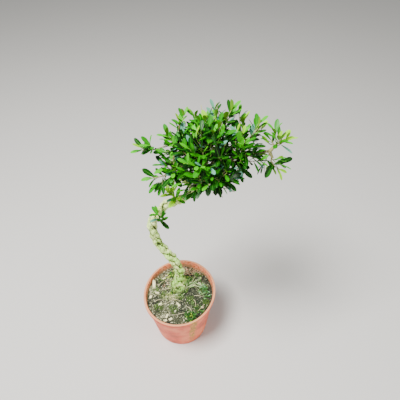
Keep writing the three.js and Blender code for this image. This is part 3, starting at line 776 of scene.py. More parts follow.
# Living moss: translucent leaflets that scatter light, so it is bright and quite without gloss.
for name, finish, colour, count, seed, tall, where in [
    ("moss_young", "cushion_moss", "#7a9f3c", 4200, 21, 2.6, "moss"),
    ("moss_old", "old_cushion_moss", "#3f6426", 5200, 22, 2.2, "moss"),
    ("moss_bright", "young_tuft_moss", "#eef2a2", 7000, 23, 2.6, "bright_moss"),
]:
    leaflets = plain_material(finish, colour, Roughness=0.9)
    moss = strewn(
        name, soil, scatter_tree(name, leaflets, "leaflet"), density=count / SOIL_AREA, seed=seed,
        where=where, least=0.0, most=1.0, smallest=[0.5 * MM, 0.4 * MM, 0.5 * tall * MM],
        largest=[1.0 * MM, 0.7 * MM, tall * MM],
        roughness=0.5 * MM, lift=0.5 * MM, tilt=0.9,
    )
    settled(moss, "soil")


# Dry stems
# Thin dead grass stems and runners that arch over the soil, straw-pale or still a little green.

STEM_RADIUS = 0.42
STEM_FOOT = 1.15
STEM_TAPER = 0.7
STEM_RISE = 0.9
STEM_SUNK = 0.4
STEM_EARLY_TOP = 0.8
STEM_STEPS = 14
STEM_SIDES = 6
# Where each starts, what it bends towards, where it ends, how high it arches, and whether it lives.
DRY_STEMS = [
    ((16.6, 10.6), (14, 27), (34, 33), 7.0, 1), ((16, 10.6), (23, 18), (30.5, 12), 6.0, 1),
    ((-5, 16), (-14, 13), (-22, 6), 4.5, 0), ((-27.5, -20), (-22, -18), (-16, -13), 3.0, 0),
    ((-24, 8), (-15, 6), (-6, 12), 3.0, 0), ((15, 14), (22, 24), (24, 31), 6.0, 0),
    ((19, -10), (24, -15), (22, -24), 4.0, 0), ((-6, -10), (-14, -12), (-22, -18), 3.0, 0),
    ((29, -2), (36, -3), (41, 4), 5.0, 1), ((9, 13), (20, 14), (28, 23), 8.0, 1),
    ((-12, -8), (-4, -12), (5, -12), 3.5, 0), ((34, -18), (30, -26), (22, -30), 3.0, 0),
    ((-32, 13), (-27, 20), (-18, 25), 4.0, 0), ((25, 4), (33, 0), (35, -10), 5.0, 1),
    ((2, 31), (9, 38), (18, 37), 4.0, 0), ((10, -20), (17, -25), (19, -35), 3.0, 0),
    ((-36, -12), (-31, -8), (-22, -10), 3.0, 0), ((8, -30), (0, -34), (-8, -33), 3.0, 0),
    ((30, 14), (37, 15), (41, 10), 5.0, 1), ((20, -3), (27, -6), (33, -4), 4.0, 0),
]


def bent_line(start, towards, end, steps):
    """Points of a line that leaves its start towards one point and bends over to its end."""
    start, towards, end = (np.array(place, float) for place in (start, towards, end))
    share = np.linspace(0, 1, steps)[:, None]
    return start * (1 - share) ** 2 + 2 * towards * share * (1 - share) + end * share ** 2


def square_to(direction):
    """A direction across another one, and level unless that one is steep."""
    return np.cross(direction, (0, 0, 1) if abs(direction[2]) < 0.9 else (1, 0, 0))


def spokes_along(points, sides):
    """Directions out from each point of a line, all round it, twisted as little as may be."""
    ahead = np.gradient(points, axis=0)
    ahead /= np.linalg.norm(ahead, axis=1, keepdims=True)
    right = square_to(ahead[0])
    rights = []
    for direction in ahead:
        right = right - direction * np.dot(right, direction)
        right = right / np.linalg.norm(right)
        rights.append(right)
    rights = np.array(rights)
    ups = np.cross(ahead, rights)
    angles = 2 * np.pi * np.arange(sides)[:, None] / sides
    return rights[:, None, :] * np.cos(angles) + ups[:, None, :] * np.sin(angles)


def tube(points, radii, sides):
    """Vertices and faces of a closed tube along points; a row of radii has one for each side or for all."""
    points = np.asarray(points, float)
    radii = np.asarray(radii, float).reshape(len(points), -1)
    rings = points[:, None, :] + spokes_along(points, sides) * radii[:, :, None]
    vertices = np.concatenate([rings.reshape(-1, 3), points[:1], points[-1:]])
    foot = len(vertices) - 2
    tip = len(vertices) - 1
    last = (len(points) - 1) * sides
    faces = []
    for k in range(sides):
        after = (k + 1) % sides
        faces.append((foot, after, k))
        faces.append((tip, last + k, last + after))
        for low in range(0, last, sides):
            faces.append((low + k, low + after, low + sides + after, low + sides + k))
    return vertices, faces


def joined(name, parts, materials):
    """One mesh piece from many parts, each of vertices in millimetres, faces and a material's number."""
    vertices = []
    faces = []
    numbers = []
    start = 0
    for part_vertices, part_faces, number in parts:
        vertices.append(np.asarray(part_vertices))
        faces += [tuple(start + corner for corner in face) for face in part_faces]
        numbers += [number] * len(part_faces) if isinstance(number, int) else list(number)
        start += len(part_vertices)
    mesh = bpy.data.meshes.new(name)
    mesh.from_pydata((np.concatenate(vertices) * MM).tolist(), [], faces)
    for material in materials:
        mesh.materials.append(material)
    mesh.polygons.foreach_set("material_index", numbers)
    mesh.shade_smooth()
    return put_in_scene(name, mesh)


# Dead grass: hollow straw, dull and faded almost white, and living runners next to it.
straw = plain_material("dead_straw", "#cfc79a", Roughness=0.7)
runner = plain_material("green_runner", "#8fae6a", Roughness=0.6)
stems = []
for start, towards, end, rise, alive in DRY_STEMS:
    share = np.linspace(0, 1, STEM_STEPS)
    ground = np.linspace(soil_height(*start), soil_height(*end), STEM_STEPS)
    height = ground + rise * np.sin(np.pi * share ** STEM_EARLY_TOP) * STEM_RISE - STEM_SUNK
    line = np.column_stack([bent_line(start, towards, end, STEM_STEPS), height])
    radii = STEM_RADIUS * (STEM_FOOT - STEM_TAPER * share)
    stems.append((*tube(line, radii, STEM_SIDES), alive))
dry_stems = joined("dry_stems", stems, [straw, runner])
settled(dry_stems, "soil")


# Trunk
# One stem of old wood with corky bark. It flares into toes at the soil, leans away to the left and the
# back, turns at a knee and runs back over the pot. Furrows wind up round it between ropes and knobs.

# Points on the trunk's middle line, from below the soil's top to the knee and from there to the fork.
TRUNK_LOWER = [
    (*TRUNK_STANDS, 77), (0.9, 14.4, 104), (-4.6, 17.8, 132), (-14.3, 20.8, 149), (-25.2, 23.9, 167),
    (-30.2, 25.6, 184), (-31, 26, 198),
]
TRUNK_UPPER = [
    TRUNK_LOWER[-1], (-29.6, 25.9, 208), (-25, 25, 218), (-11, 21, 241), (8, 15, 257), (24, 10, 273),
    (31, 9, 288),
]
LIMB_STEPS = 220
TRUNK_STRIDE = 10
KNEE_BLEND = 12
FORK_ROUND = 3
# The trunk's radii at the soil, above its flare, at the knee and at the fork, and how deep it stands.
TRUNK_FOOT = 11.0
TRUNK_BODY = 6.2
TRUNK_KNEE = 5.7
TRUNK_FORK = 3.9
TRUNK_BURIED = 4.0
# The flare and its toes, and the wood's ropes under the bark, which wind round it.
FLARE_SHARE = 0.36
TOES = 5
TOE_DEPTH = 0.16
KNOBS = 0.1
TWIST = 13
KNOTS = 28
TRUNK_SIDES = 96
TRUNK_RINGS = 420
# The bark's ropes and how they wander, the furrows between them, its plates and the cracks between those,
# and its swells and cork. A rise or a depth is in millimetres, on the trunk.
ROPES = 3
ROPE_WINDING = 28
ROPE_WANDER = 0.9
ROPE_RISE = 1.5
FURROW_SHARE = 0.5
FURROW_DEPTH = 0.6
PLATE_WIDTH = 4.6
PLATE_WANDER = 1.2
PLATE_RISE = 0.5
CRACK_DEPTH = 0.3
SWELL_WIDTH = 8.0
SWELL_RISE = 2.2
CORK_WIDTH = 1.2
CORK_RISE = 0.22
BARK_SUNK = 1.15
# Where each knob of bark sits on the trunk, how wide it is and how far it stands out. The last is a hollow.
BARK_KNOBS = [
    ((-10.2, 16.5, 160.6), 3.6, 1.8), ((-23.2, 18.7, 154), 3.2, 1.3), ((-31.3, 20.1, 169.6), 3.0, 1.2),
    ((-24, 21.4, 184.3), 3.2, 1.5), ((-36.2, 22, 201), 3.6, 1.6), ((-32.7, 24, 219), 3.6, 1.4),
    ((-19.2, 21, 241), 3.2, 1.6), ((-5.1, 14, 244.7), 3.2, 2.0), ((0.5, 16, 252.5), 3.0, 1.2),
    ((7.6, 10, 253.5), 3.2, 1.4), ((-8.9, 11.6, 132.6), 3.4, 1.4), ((1.3, 9.5, 119.8), 3.6, 1.6),
    ((-5.7, 8.9, 98.8), 3.6, 1.6), ((8.6, 8.9, 102), 3.4, 1.6), ((-15, 14.1, 145.9), 3.2, 1.2),
    ((-0.5, 14.3, 139), 3.4, 1.5), ((-20.7, 21.8, 167), 6.0, -2.4),
]


def steps_along(line):
    """The distance from each point of a line to the next."""
    return np.linalg.norm(np.diff(line, axis=0), axis=1)


def limb_line(points, count):
    """Evenly spaced points along a centripetal Catmull-Rom curve through the given ones."""
    points = [np.array(p, float) for p in points]
    padded = [2 * points[0] - points[1], *points, 2 * points[-1] - points[-2]]
    line = []
    for a, b, c, d in zip(padded, padded[1:], padded[2:], padded[3:]):
        first, middle, last = (math.sqrt(np.linalg.norm(q - p)) for p, q in ((a, b), (b, c), (c, d)))
        start = ((b - a) / first - (c - a) / (first + middle) + (c - b) / middle) * middle
        end = ((c - b) / middle - (d - b) / (middle + last) + (d - c) / last) * middle
        for t in np.linspace(0, 1, 60)[:-1]:
            line.append(
                b * (2 * t ** 3 - 3 * t ** 2 + 1) + start * (t ** 3 - 2 * t ** 2 + t)
                + c * (3 * t ** 2 - 2 * t ** 3) + end * (t ** 3 - t ** 2)
            )
    line = np.array([*line, points[-1]])
    run = np.concatenate([[0], np.cumsum(steps_along(line))])
    wanted = np.linspace(0, run[-1], count)
    return np.stack([np.interp(wanted, run, line[:, axis]) for axis in range(3)], axis=1)


def bark_radius(share, angle, first, last):
    """The radius of the old wood, with the ropes that wind round it."""
    furrows = np.sin(2 * angle + TWIST * share) * np.sin(angle + KNOTS * share)
    return (first + (last - first) * share) * (1 + KNOBS * furrows)


def lower_radius(share, angle):
    flare = np.clip(1 - share / FLARE_SHARE, 0, None) ** 2
    toes = 1 + TOE_DEPTH * flare * np.cos(TOES * angle)
    return (bark_radius(share, angle, TRUNK_BODY, TRUNK_KNEE) + (TRUNK_FOOT - TRUNK_BODY) * flare) * toes


def upper_radius(share, angle):
    return bark_radius(share, angle, TRUNK_KNEE, TRUNK_FORK)


def smooth_noise(places, size, seed):
    """A smooth noise for each place, whose swells are about this many millimetres wide."""
    shift = Vector((seed * 11.3, seed * 5.7, seed * 2.9))
    return np.array([noise.noise(Vector(p) / size + shift) for p in places])


def knobbly(places, size):
    """The bark's rounded plates: how high each place stands on its own, and how close it is to a crack."""
    stands = []
    cracked = []
    for place in places:
        near = noise.voronoi(Vector((place[0], place[1], place[2] * 0.7)) / size)[0]
        stands.append(1 - (near[0] / 0.75) ** 2)
        cracked.append(max(0.0, 1 - (near[1] - near[0]) / 0.17))
    return np.array(stands), np.array(cracked)


def barked(name, line, radii, sides, ruggedness, knobs):
    """A limb's closed tube with its bark's relief, and a value on each point for how pale it is there."""
    skin = (line[:, None, :] + spokes_along(line, sides) * radii[:, :, None]).reshape(-1, 3)
    turns = np.tile(2 * np.pi * np.arange(sides) / sides, len(line))
    run = np.repeat(np.arange(len(line)) / len(line), sides)
    wound = turns + ROPE_WINDING * run + ROPE_WANDER * smooth_noise(skin, 9.0, 1)
    rope = np.abs(np.sin(ROPES / 2 * wound))
    furrow = np.clip(1 - rope / FURROW_SHARE, 0, 1) ** 1.2
    wander = PLATE_WANDER * np.stack([smooth_noise(skin, 3.5, k) for k in (2, 3, 4)], axis=1)
    plate, crack = knobbly(skin + wander, PLATE_WIDTH)
    swell = smooth_noise(skin, SWELL_WIDTH, 5)
    grit = smooth_noise(skin, CORK_WIDTH, 6)
    offset = ROPE_RISE * rope + PLATE_RISE * plate - CRACK_DEPTH * crack - FURROW_DEPTH * furrow
    offset = offset + SWELL_RISE * swell + CORK_RISE * grit - BARK_SUNK
    stands = np.zeros(len(skin))
    for place, width, height in knobs:
        stands += height * np.exp(-((np.linalg.norm(skin - np.array(place), axis=1) / width) ** 2))
    offset = ruggedness * offset + stands
    # How pale the bark is: less in its furrows and cracks, and more where it stands out; partly the cork's
    # own colour, and partly painted shade in its hollows and painted light on its swells.
    relief = 0.5 - 0.5 * furrow - 0.26 * crack + 0.14 * plate + 0.3 * swell + 0.3 * grit + 0.06 * stands
    relief = np.clip(relief, 0, 1)
    vertices, faces = tube(line, radii + offset.reshape(len(line), sides), sides)
    piece = joined(name, [(vertices, faces, 0)], [])
    stored = piece.data.attributes.new("relief", "FLOAT", "POINT")
    stored.data.foreach_set("value", np.concatenate([relief, relief[:1], relief[-1:]]))
    return piece


# Old bark: dry cork, pale cream where it is weathered, olive-brown deep in its furrows, and tinted by green
# algae towards the damp soil.
# The dark of its furrows and fissures is partly painted shade, and the pale of its swells partly painted
# light. It is quite dull.
CORK_COLOURS = [(0.05, "#353c14"), (0.18, "#7a8838"), (0.36, "#dce894"), (0.6, "#fdffb8")]
BARK_ALGAE = "#b0ec84"

cork, tree, shader = start_material("corky_bark", Roughness=0.88, IOR=1.45)
where = add_node(tree, "ShaderNodeTexCoord").outputs["Object"]
height = add_node(tree, "ShaderNodeSeparateXYZ", {"Vector": where})
stand = add_node(tree, "ShaderNodeAttribute", attribute_name="relief")
flecks = add_node(tree, "ShaderNodeTexNoise", {
    "Vector": where, "Scale": grain(1.2), "Detail": 4.0, "Roughness": 0.7,
})
# Darker in the bump's fine fissures and paler on its grains: partly the cork's own colour and partly painted
# shade and light.
fleck_push = add_node(tree, "ShaderNodeMapRange", {
    "Value": flecks, "From Min": 0.3, "From Max": 0.7, "To Min": -0.2, "To Max": 0.18,
})
shade = add_node(tree, "ShaderNodeMath", {
    0: stand.outputs["Fac"], 1: fleck_push,
}, operation="ADD", use_clamp=True)
corky = add_node(tree, "ShaderNodeValToRGB", {"Fac": shade})
fill_ramp(corky, CORK_COLOURS)
damp = add_node(tree, "ShaderNodeMapRange", {
    "Value": height.outputs["Z"], "From Min": SOIL_TOP * MM, "From Max": 210 * MM,
    "To Min": 1.0, "To Max": 0.45,
})
stain = add_node(tree, "ShaderNodeTexNoise", {"Vector": where, "Scale": grain(9.0), "Detail": 3.0})
stain_share = add_node(tree, "ShaderNodeMapRange", {
    "Value": stain, "From Min": 0.34, "From Max": 0.56, "To Min": 0.1, "To Max": 1.0,
})
algae_share = add_node(tree, "ShaderNodeMath", {0: damp, 1: stain_share}, operation="MULTIPLY")
stained = add_node(tree, "ShaderNodeMix", {
    "Factor": algae_share, "A": corky, "B": linear(BARK_ALGAE),
}, data_type="RGBA", blend_type="MULTIPLY")
tree.links.new(stained.outputs["Result"], shader.inputs["Base Color"])
fissures = add_node(tree, "ShaderNodeBump", {"Height": flecks, "Strength": 0.7, "Distance": 0.35 * MM})
tree.links.new(fissures.outputs[0], shader.inputs["Normal"])

lower_line = limb_line(TRUNK_LOWER, LIMB_STEPS + 1)
upper_line = limb_line(TRUNK_UPPER, LIMB_STEPS + 1)
buried = lower_line[0] - np.array([0, 0, TRUNK_BURIED])
past_knee = upper_line[TRUNK_STRIDE // 2::TRUNK_STRIDE]
trunk_points = np.concatenate([[buried], lower_line[::TRUNK_STRIDE], past_knee])
trunk_line = limb_line(trunk_points, TRUNK_RINGS)
lower_length = steps_along(lower_line).sum()
upper_length = steps_along(upper_line).sum()
along = np.linspace(-TRUNK_BURIED, lower_length + upper_length, TRUNK_RINGS)[:, None]
angles = (2 * np.pi * np.arange(TRUNK_SIDES) / TRUNK_SIDES)[None, :]
lower_part = lower_radius(np.clip(along / lower_length, 0, 1), angles)
upper_part = upper_radius(np.clip((along - lower_length) / upper_length, 0, 1), angles)
blend = np.clip(0.5 + (along - lower_length) / KNEE_BLEND, 0, 1)
trunk_radii = lower_part * (1 - blend) + upper_part * blend
# The trunk's end is rounded over, inside the fork.
near_end = np.clip(along - lower_length - upper_length + FORK_ROUND, 0, FORK_ROUND) / FORK_ROUND
trunk_radii *= np.sqrt(np.clip(1.02 - near_end ** 2, 0, 1))
trunk = barked("trunk_bark", trunk_line, trunk_radii, TRUNK_SIDES, 1.0, BARK_KNOBS)
trunk.data.materials.append(cork)
settled(trunk, "bark", "trunk_lower", "trunk_upper")


# Boughs
# Six boughs leave the trunk's end and each other, two to six millimetres thick. Four keep the trunk's
# pale cork, lightly furrowed, and the two that reach to the right are browner. Each ends in its leaves.

# Each row has the limb that bears the bough, how far along, what it bends past, its tip and its two radii.
BOUGHS = {
    "bough_left": ("trunk_upper", 0.86, (10, 8, 294), (2, 7, 308), (2.7, 1.6)),
    "bough_front": ("trunk_upper", 0.93, (37, -2, 294), (38, -9, 306), (2.6, 1.6)),
    "bough_back": ("trunk_upper", 0.96, (26, 22, 300), (26, 28, 314), (2.6, 1.6)),
    "bough_leader": ("trunk_upper", 1, (33, 9, 304), (36, 11, 322), (3.0, 1.7)),
    "bough_right": ("bough_leader", 0.4, (50, 8, 314), (72, 5, 327), (2.6, 2.0)),
    "bough_end": ("bough_right", 1, (84, 3, 331), (98, 2, 334), (1.9, 1.2)),
}
BROWNER_BOUGHS = ("bough_right", "bough_end")
BOUGH_SIDES = 20
BOUGH_RINGS = 61
BOUGH_RUGGEDNESS = 0.3
COLLAR_SWELL = 0.45
COLLAR_LENGTH = 4.0

# Young bark: thin smooth cork over living wood, tan-brown with paler streaks, darker in its shallow furrows
# partly as painted shade, and half dull.
YOUNG_BARK_COLOURS = [(0.1, "#3c3a20"), (0.3, "#6f6a3e"), (0.5, "#9c9a66")]

young_bark, tree, shader = start_material("young_bark", Roughness=0.75, IOR=1.45)
where = add_node(tree, "ShaderNodeTexCoord").outputs["Object"]
stand = add_node(tree, "ShaderNodeAttribute", attribute_name="relief")
streaks = add_node(tree, "ShaderNodeTexNoise", {"Vector": where, "Scale": grain(1.6), "Detail": 3.0})
shade = add_node(tree, "ShaderNodeMath", {0: stand.outputs["Fac"], 1: streaks}, operation="MULTIPLY")
browned = add_node(tree, "ShaderNodeValToRGB", {"Fac": shade})
fill_ramp(browned, YOUNG_BARK_COLOURS)
tree.links.new(browned.outputs["Color"], shader.inputs["Base Color"])

limb_lines = {"trunk_lower": lower_line, "trunk_upper": upper_line}
# Places along the limbs with their radii, which twigs and leaves keep clear of.
limb_samples = []
for name, radius_at, places in [("trunk_lower", lower_radius, 45), ("trunk_upper", upper_radius, 41)]:
    for share in np.linspace(0, 1, places):
        place = limb_lines[name][round(share * LIMB_STEPS)]
        limb_samples.append((place, float(radius_at(share, 0.0))))


def place_along(limb, share):
    """The place that is this share of the way along a limb."""
    line = limb_lines[limb]
    return line[round(share * (len(line) - 1))]


for name, (bearer, bearer_share, via, tip, (thick, thin)) in BOUGHS.items():
    line = limb_line([place_along(bearer, bearer_share), via, tip], BOUGH_RINGS)
    limb_lines[name] = line
    share = np.linspace(0, 1, BOUGH_RINGS)
    plain = thick + (thin - thick) * share
    limb_samples += [(line[k], plain[k]) for k in range(0, BOUGH_RINGS, 5)]
    collar = COLLAR_SWELL * np.exp(-share * steps_along(line).sum() / COLLAR_LENGTH)
    radii = np.repeat((plain * (1 + collar))[:, None], BOUGH_SIDES, axis=1)
    piece = barked(name + "_bark", line, radii, BOUGH_SIDES, BOUGH_RUGGEDNESS, [])
    piece.data.materials.append(young_bark if name in BROWNER_BOUGHS else cork)
    settled(piece, "bark", name)


# Growth
# The crown grows from its boughs by a seeded rule. Shoots are spread over a lumpy ball, and twigs branch
# to each of them from the nearest mass's stem. The coarse shoots give the crown its outline, and a finer
# set fills in between them.

# The lumpy ball: its middle and radii, how far its top leans, its lumps, how uneven and scattered its
# shoots are, and how low they start.
CROWN_CENTRE = np.array([37.0, 3.0, 330.0])
CROWN_RADII = np.array([40.0, 35.0, 33.0])
CROWN_LEAN = 7.0
CROWN_LUMPS = 0.08
CROWN_UNEVEN = 0.12
CROWN_SCATTER = 0.4
CROWN_LOWEST = -0.8
COARSE_SHOOTS = {"count": 160, "seed": 77, "layers": (0.8, 1, 0.58, 0.9, 0.36), "spacing": 7.6}
FINE_SHOOTS = {"count": 380, "seed": 31, "layers": (0.95, 0.7, 1.02, 0.82, 0.45), "spacing": 5.6}
# The limb that bears each mass, its centre, and its leading shoots. A loner takes no shoot of the crown's.
MASSES = {
    "leaves_left": {"on": "bough_left", "centre": (1, -8, 314), "leads": [(-19, -6, 307)]},
    "leaves_left_high": {"on": "bough_left", "centre": (4, 17, 339), "leads": [(-29, 9, 331), (10, 25, 353)]},
    "leaves_front_left": {"on": "bough_front", "centre": (22, -22, 310), "leads": []},
    "leaves_front_right": {"on": "bough_front", "centre": (50, -22, 314), "leads": [(58, -18, 317)]},
    "leaves_front_high": {"on": "bough_front", "centre": (35, -9, 342), "leads": []},
    "leaves_back": {"on": "bough_back", "centre": (26, 36, 320), "leads": []},
    "leaves_top": {"on": "bough_leader", "centre": (44, 24, 352), "leads": [(38, 26, 358), (60, 24, 361)]},
    "leaves_right": {"on": "bough_right", "centre": (77, -6, 331), "leads": [(82, -2, 335)]},
    "leaves_right_high": {"on": "bough_right", "centre": (76, 16, 343), "leads": [(86, 14, 353)]},
    "leaves_end_high": {
        "on": "bough_end", "centre": (108, 4, 346), "leads": [(99, 5, 345), (108, 3, 348)], "loner": True,
    },
    "leaves_end_low": {
        "on": "bough_end", "centre": (104, 0, 322), "leads": [(102, 3, 315), (109, -2, 314)], "loner": True,
    },
    "leaves_knee": {
        "on": "trunk_upper", "share": 0.1, "centre": (-17, 12, 224), "leads": [(-18, 13, 222)], "loner": True,
    },
    "leaves_collar": {
        "on": "trunk_upper", "share": 0.64, "centre": (2, 2, 272), "leads": [(-1, 4, 273)], "loner": True,
    },
}
# Leading shoots of the finer set.
FINE_LEADS = {
    "leaves_left": [(-15, -10, 304), (-10, -8, 300), (-8, 2, 318)],
    "leaves_left_high": [(-29, 9, 334), (-20, 8, 338), (-2, 14, 344), (14, 26, 360)],
    "leaves_front_left": [(16, -16, 300), (24, -20, 300), (8, -12, 300)],
    "leaves_top": [(60, 24, 367), (56, 22, 360), (24, 26, 361), (44, 26, 366)],
    "leaves_right_high": [(86, 14, 358), (80, 12, 346), (72, 22, 355), (90, 16, 350), (68, 24, 362)],
    "leaves_right": [(84, 4, 333), (90, 0, 335), (88, -8, 330)],
    "leaves_end_high": [(104, -1, 350), (101, 4, 356), (113, 4, 346), (97, 5, 341)],
    "leaves_end_low": [(94, 4, 316), (106, 1, 324), (112, 0, 318), (97, 2, 329), (93, 4, 323)],
    "leaves_knee": [(-20, 13, 236), (-15, 12, 228)],
    "leaves_collar": [(-5, 7, 277), (3, -2, 275), (0, 10, 282)],
}
# Tips of the dead sticks that stand out of the leaves.
BARE_STICKS = {
    "leaves_top": [(30.9, 30, 369.4), (45.4, 30, 372.5)],
    "leaves_right_high": [(89.8, 14, 355.4), (94.5, 10, 352)],
    "leaves_front_right": [(42.5, -16, 293.6), (52.5, -16, 288.7), (56.6, -16, 300.4), (64, -20, 300)],
    "leaves_front_left": [(37.5, -12, 295.5), (28, -20, 296)],
    "leaves_left_high": [(-37, 6, 327), (-31, 3, 323)],
}
# The room round a stem and each order of twigs: at its foot, its bend and its tip.
TWIG_ROOM = [(2.2, 2.1, 2.0), (1.0, 1.1, 0.8), (0.55, 0.76, 0.74), (0.4, 0.45, 0.4)]
# Into how many orders the coarse and the fine twigs branch, how far out the stem forks, how far down it the
# next joint is, and how a twig bends, sags and is kept from turning back.
COARSE_ORDERS = 3
FINE_ORDERS = 4
STEM_SHARE = 0.62
TWIG_STEP = 2.3
TWIG_END = 15.0
LEAST_BEND = 0.35
FOOT_SHARE = 0.2
TWIG_SAG = 0.12
TURN_COST = 0.9
TWIG_CLEARANCE = 0.25
TWIG_CHECKS = 7
UP = np.array([0.0, 0.0, 1.0])


def seeded(seed):
    """A Lehmer generator: the same seed gives the same plant."""
    state = (seed * 7919 + 12345) % 2147483647

    def draw():
        nonlocal state
        state = state * 48271 % 2147483647
        return state / 2147483647

    return draw


def unit(vector):
    return vector / np.linalg.norm(vector)


masses = {}
for name, mass in MASSES.items():
    root = place_along(mass["on"], mass.get("share", 1))
    centre = np.array(mass["centre"], float)
    masses[name] = {
        "root": root, "centre": centre, "crotch": root + (centre - root) * STEM_SHARE,
        "shoots": [np.array(lead, float) for lead in mass["leads"]], "loner": mass.get("loner", False),
    }

limb_places = np.array([place for place, radius in limb_samples])
limb_radii = np.array([radius for place, radius in limb_samples])


def depth_in_cell(points, name):
    """How far each point lies inside a mass's cell, the space nearer to its centre than to any other's."""
    others = np.array([mass["centre"] for other, mass in masses.items() if other != name])
    across = masses[name]["centre"] - others
    middles = masses[name]["centre"] - across / 2
    across = across / np.linalg.norm(across, axis=1, keepdims=True)
    return np.einsum("poc,oc->po", points[:, None, :] - middles[None, :, :], across).min(axis=1)


def clear_of_limbs(points, name):
    """The least distance from each point to the limbs and to the other masses' stems, past their radii."""
    least = (np.linalg.norm(points[:, None, :] - limb_places, axis=2) - limb_radii).min(axis=1)
    for other, mass in masses.items():
        if other != name:
            stem = mass["crotch"] - mass["root"]
            share = np.clip((points - mass["root"]) @ stem / (stem @ stem), 0, 1)
            away = np.linalg.norm(points - mass["root"] - share[:, None] * stem, axis=1)
            least = np.minimum(least, away - TWIG_ROOM[0][0])
    return least


def spread_shoots(count, seed, layers, spacing):
    """Gives each mass its shoots, on a golden-angle spiral in layers of the crown."""
    draw = seeded(seed)
    golden = math.pi * (3 - math.sqrt(5))
    for k in range(count):
        height = 1 - 2 * (k + 0.5) / count
        ring = math.sqrt(1 - height * height)
        angle = k * golden + CROWN_SCATTER * draw()
        lump = 1 + CROWN_LUMPS * math.sin(3 * angle + 4 * height) + CROWN_UNEVEN * (draw() - 0.5)
        share = layers[k % len(layers)] * lump
        on_ball = np.array([ring * math.cos(angle), ring * math.sin(angle), height])
        shoot = on_ball * CROWN_RADII * share + CROWN_CENTRE
        shoot[0] += CROWN_LEAN * height
        if height > CROWN_LOWEST:
            takers = [mass for mass in masses.values() if not mass["loner"]]
            mass = min(takers, key=lambda one: np.linalg.norm(one["centre"] - shoot))
            if all(np.linalg.norm(other - shoot) >= spacing for other in mass["shoots"]):
                mass["shoots"].append(shoot)


def twig_to(shoot, joint):
    """A twig to a shoot goes out level at first and then rises."""
    reach = np.linalg.norm(shoot - joint["at"])
    share = max(LEAST_BEND, 1 - TWIG_END / reach)
    bend = joint["at"] + (shoot - joint["at"]) * share - UP * TWIG_SAG * reach
    return {"from": joint["at"].copy(), "bend": bend, "to": shoot, "order": joint["order"]}


def twig_fits(twig, name):
    """Whether a twig, but for its foot, stays in its mass's cell and clear of the limbs."""
    start = twig["from"] + (twig["bend"] - twig["from"]) * FOOT_SHARE
    share = np.linspace(0, 1, TWIG_CHECKS)[:, None]
    to_bend = start + (twig["bend"] - start) * share
    to_tip = twig["bend"] + (twig["to"] - twig["bend"]) * share
    points = np.concatenate([to_bend, to_tip])
    needed = np.repeat(TWIG_ROOM[twig["order"]][1:], TWIG_CHECKS) + TWIG_CLEARANCE
    return (np.minimum(depth_in_cell(points, name), clear_of_limbs(points, name)) >= needed).all()


def grow_twigs(name, shoots, orders):
    """Twigs to each shoot from the nearest joint that lets them through, one below another."""
    mass = masses[name]

    def cost(joint, shoot):
        reach = shoot - joint["at"]
        length = np.linalg.norm(reach)
        return length * (1 + TURN_COST * (1 - reach @ joint["heading"] / length))

    grown = []
    for shoot in sorted(shoots, key=lambda one: np.linalg.norm(one - mass["crotch"])):
        for joint in sorted(mass["joints"], key=lambda one: cost(one, shoot)):
            if joint["order"] >= orders:
                continue
            twig = twig_to(shoot, joint)
            if twig_fits(twig, name):
                grown.append(twig)
                onward = unit(twig["bend"] - twig["from"])
                order = joint["order"] + 1
                mass["joints"].append({"at": twig["bend"].copy(), "heading": onward, "order": order})
                joint["at"] -= TWIG_STEP * joint["heading"]
                break
    return grown


spread_shoots(**COARSE_SHOOTS)
for name, mass in masses.items():
    heading = unit(mass["crotch"] - mass["root"])
    mass["joints"] = [{"at": mass["crotch"] - TWIG_STEP * heading, "heading": heading, "order": 1}]
    leads = len(MASSES[name]["leads"])
    mass["leafy"] = grow_twigs(name, mass["shoots"][:leads], COARSE_ORDERS)
    mass["leafy"] += grow_twigs(name, mass["shoots"][leads:], COARSE_ORDERS)
    mass["coarse"] = len(mass["shoots"])
spread_shoots(**FINE_SHOOTS)
for name, mass in masses.items():
    finer = [np.array(lead, float) for lead in FINE_LEADS.get(name, [])]
    mass["leafy"] += grow_twigs(name, finer + mass["shoots"][mass["coarse"]:], FINE_ORDERS)
    sticks = [np.array(tip, float) for tip in BARE_STICKS.get(name, [])]
    mass["bare"] = grow_twigs(name, sticks, FINE_ORDERS)


# Twigs
# Each stem and twig is a slender bent rod. The young ones are green and the old ones pale tan wood, and
# the dead ones without leaves are bleached.

# The radii of a stem and each order of twigs, at the foot and at the tip.
TWIG_RADII = [(2.0, 1.3), (0.85, 0.55), (0.55, 0.4), (0.42, 0.28)]
TWIG_SIDES = 7
STICK_RADII = (0.7, 0.4)
BEND_STARTS = 0.55
BEND_ENDS = 0.45
BEND_STEPS = 6
TWIG_WAVER = 0.35
TWIG_WAVER_WIDTH = 7.0

# Thin smooth bark: half dull, tan where it has ripened and green where it has not, and bleached if dead.
TWIG_BARKS = [
    plain_material("ripe_twig", "#8c8a52", Roughness=0.7),
    plain_material("green_twig", "#86a548", Roughness=0.55),
    plain_material("dead_twig", "#a5a070", Roughness=0.8),
]
RIPE, GREEN, DEAD = range(3)


def twig_line(twig, seed):
    """Points along a twig, with its bend rounded and a little unevenness."""
    start, bend, end = twig["from"], twig["bend"], twig["to"]
    before = start + (bend - start) * BEND_STARTS
    after = bend + (end - bend) * BEND_ENDS
    rounded = bent_line(before, bend, after, BEND_STEPS)
    points = [start, start + (before - start) * 0.5, *rounded, after + (end - after) * 0.5, end]
    points = np.array(points)
    shift = Vector((seed, 0, 0))
    for k in range(1, len(points) - 1):
        stray = noise.noise_vector(Vector(points[k]) / TWIG_WAVER_WIDTH + shift)
        points[k] += TWIG_WAVER * np.array(stray)
    return points


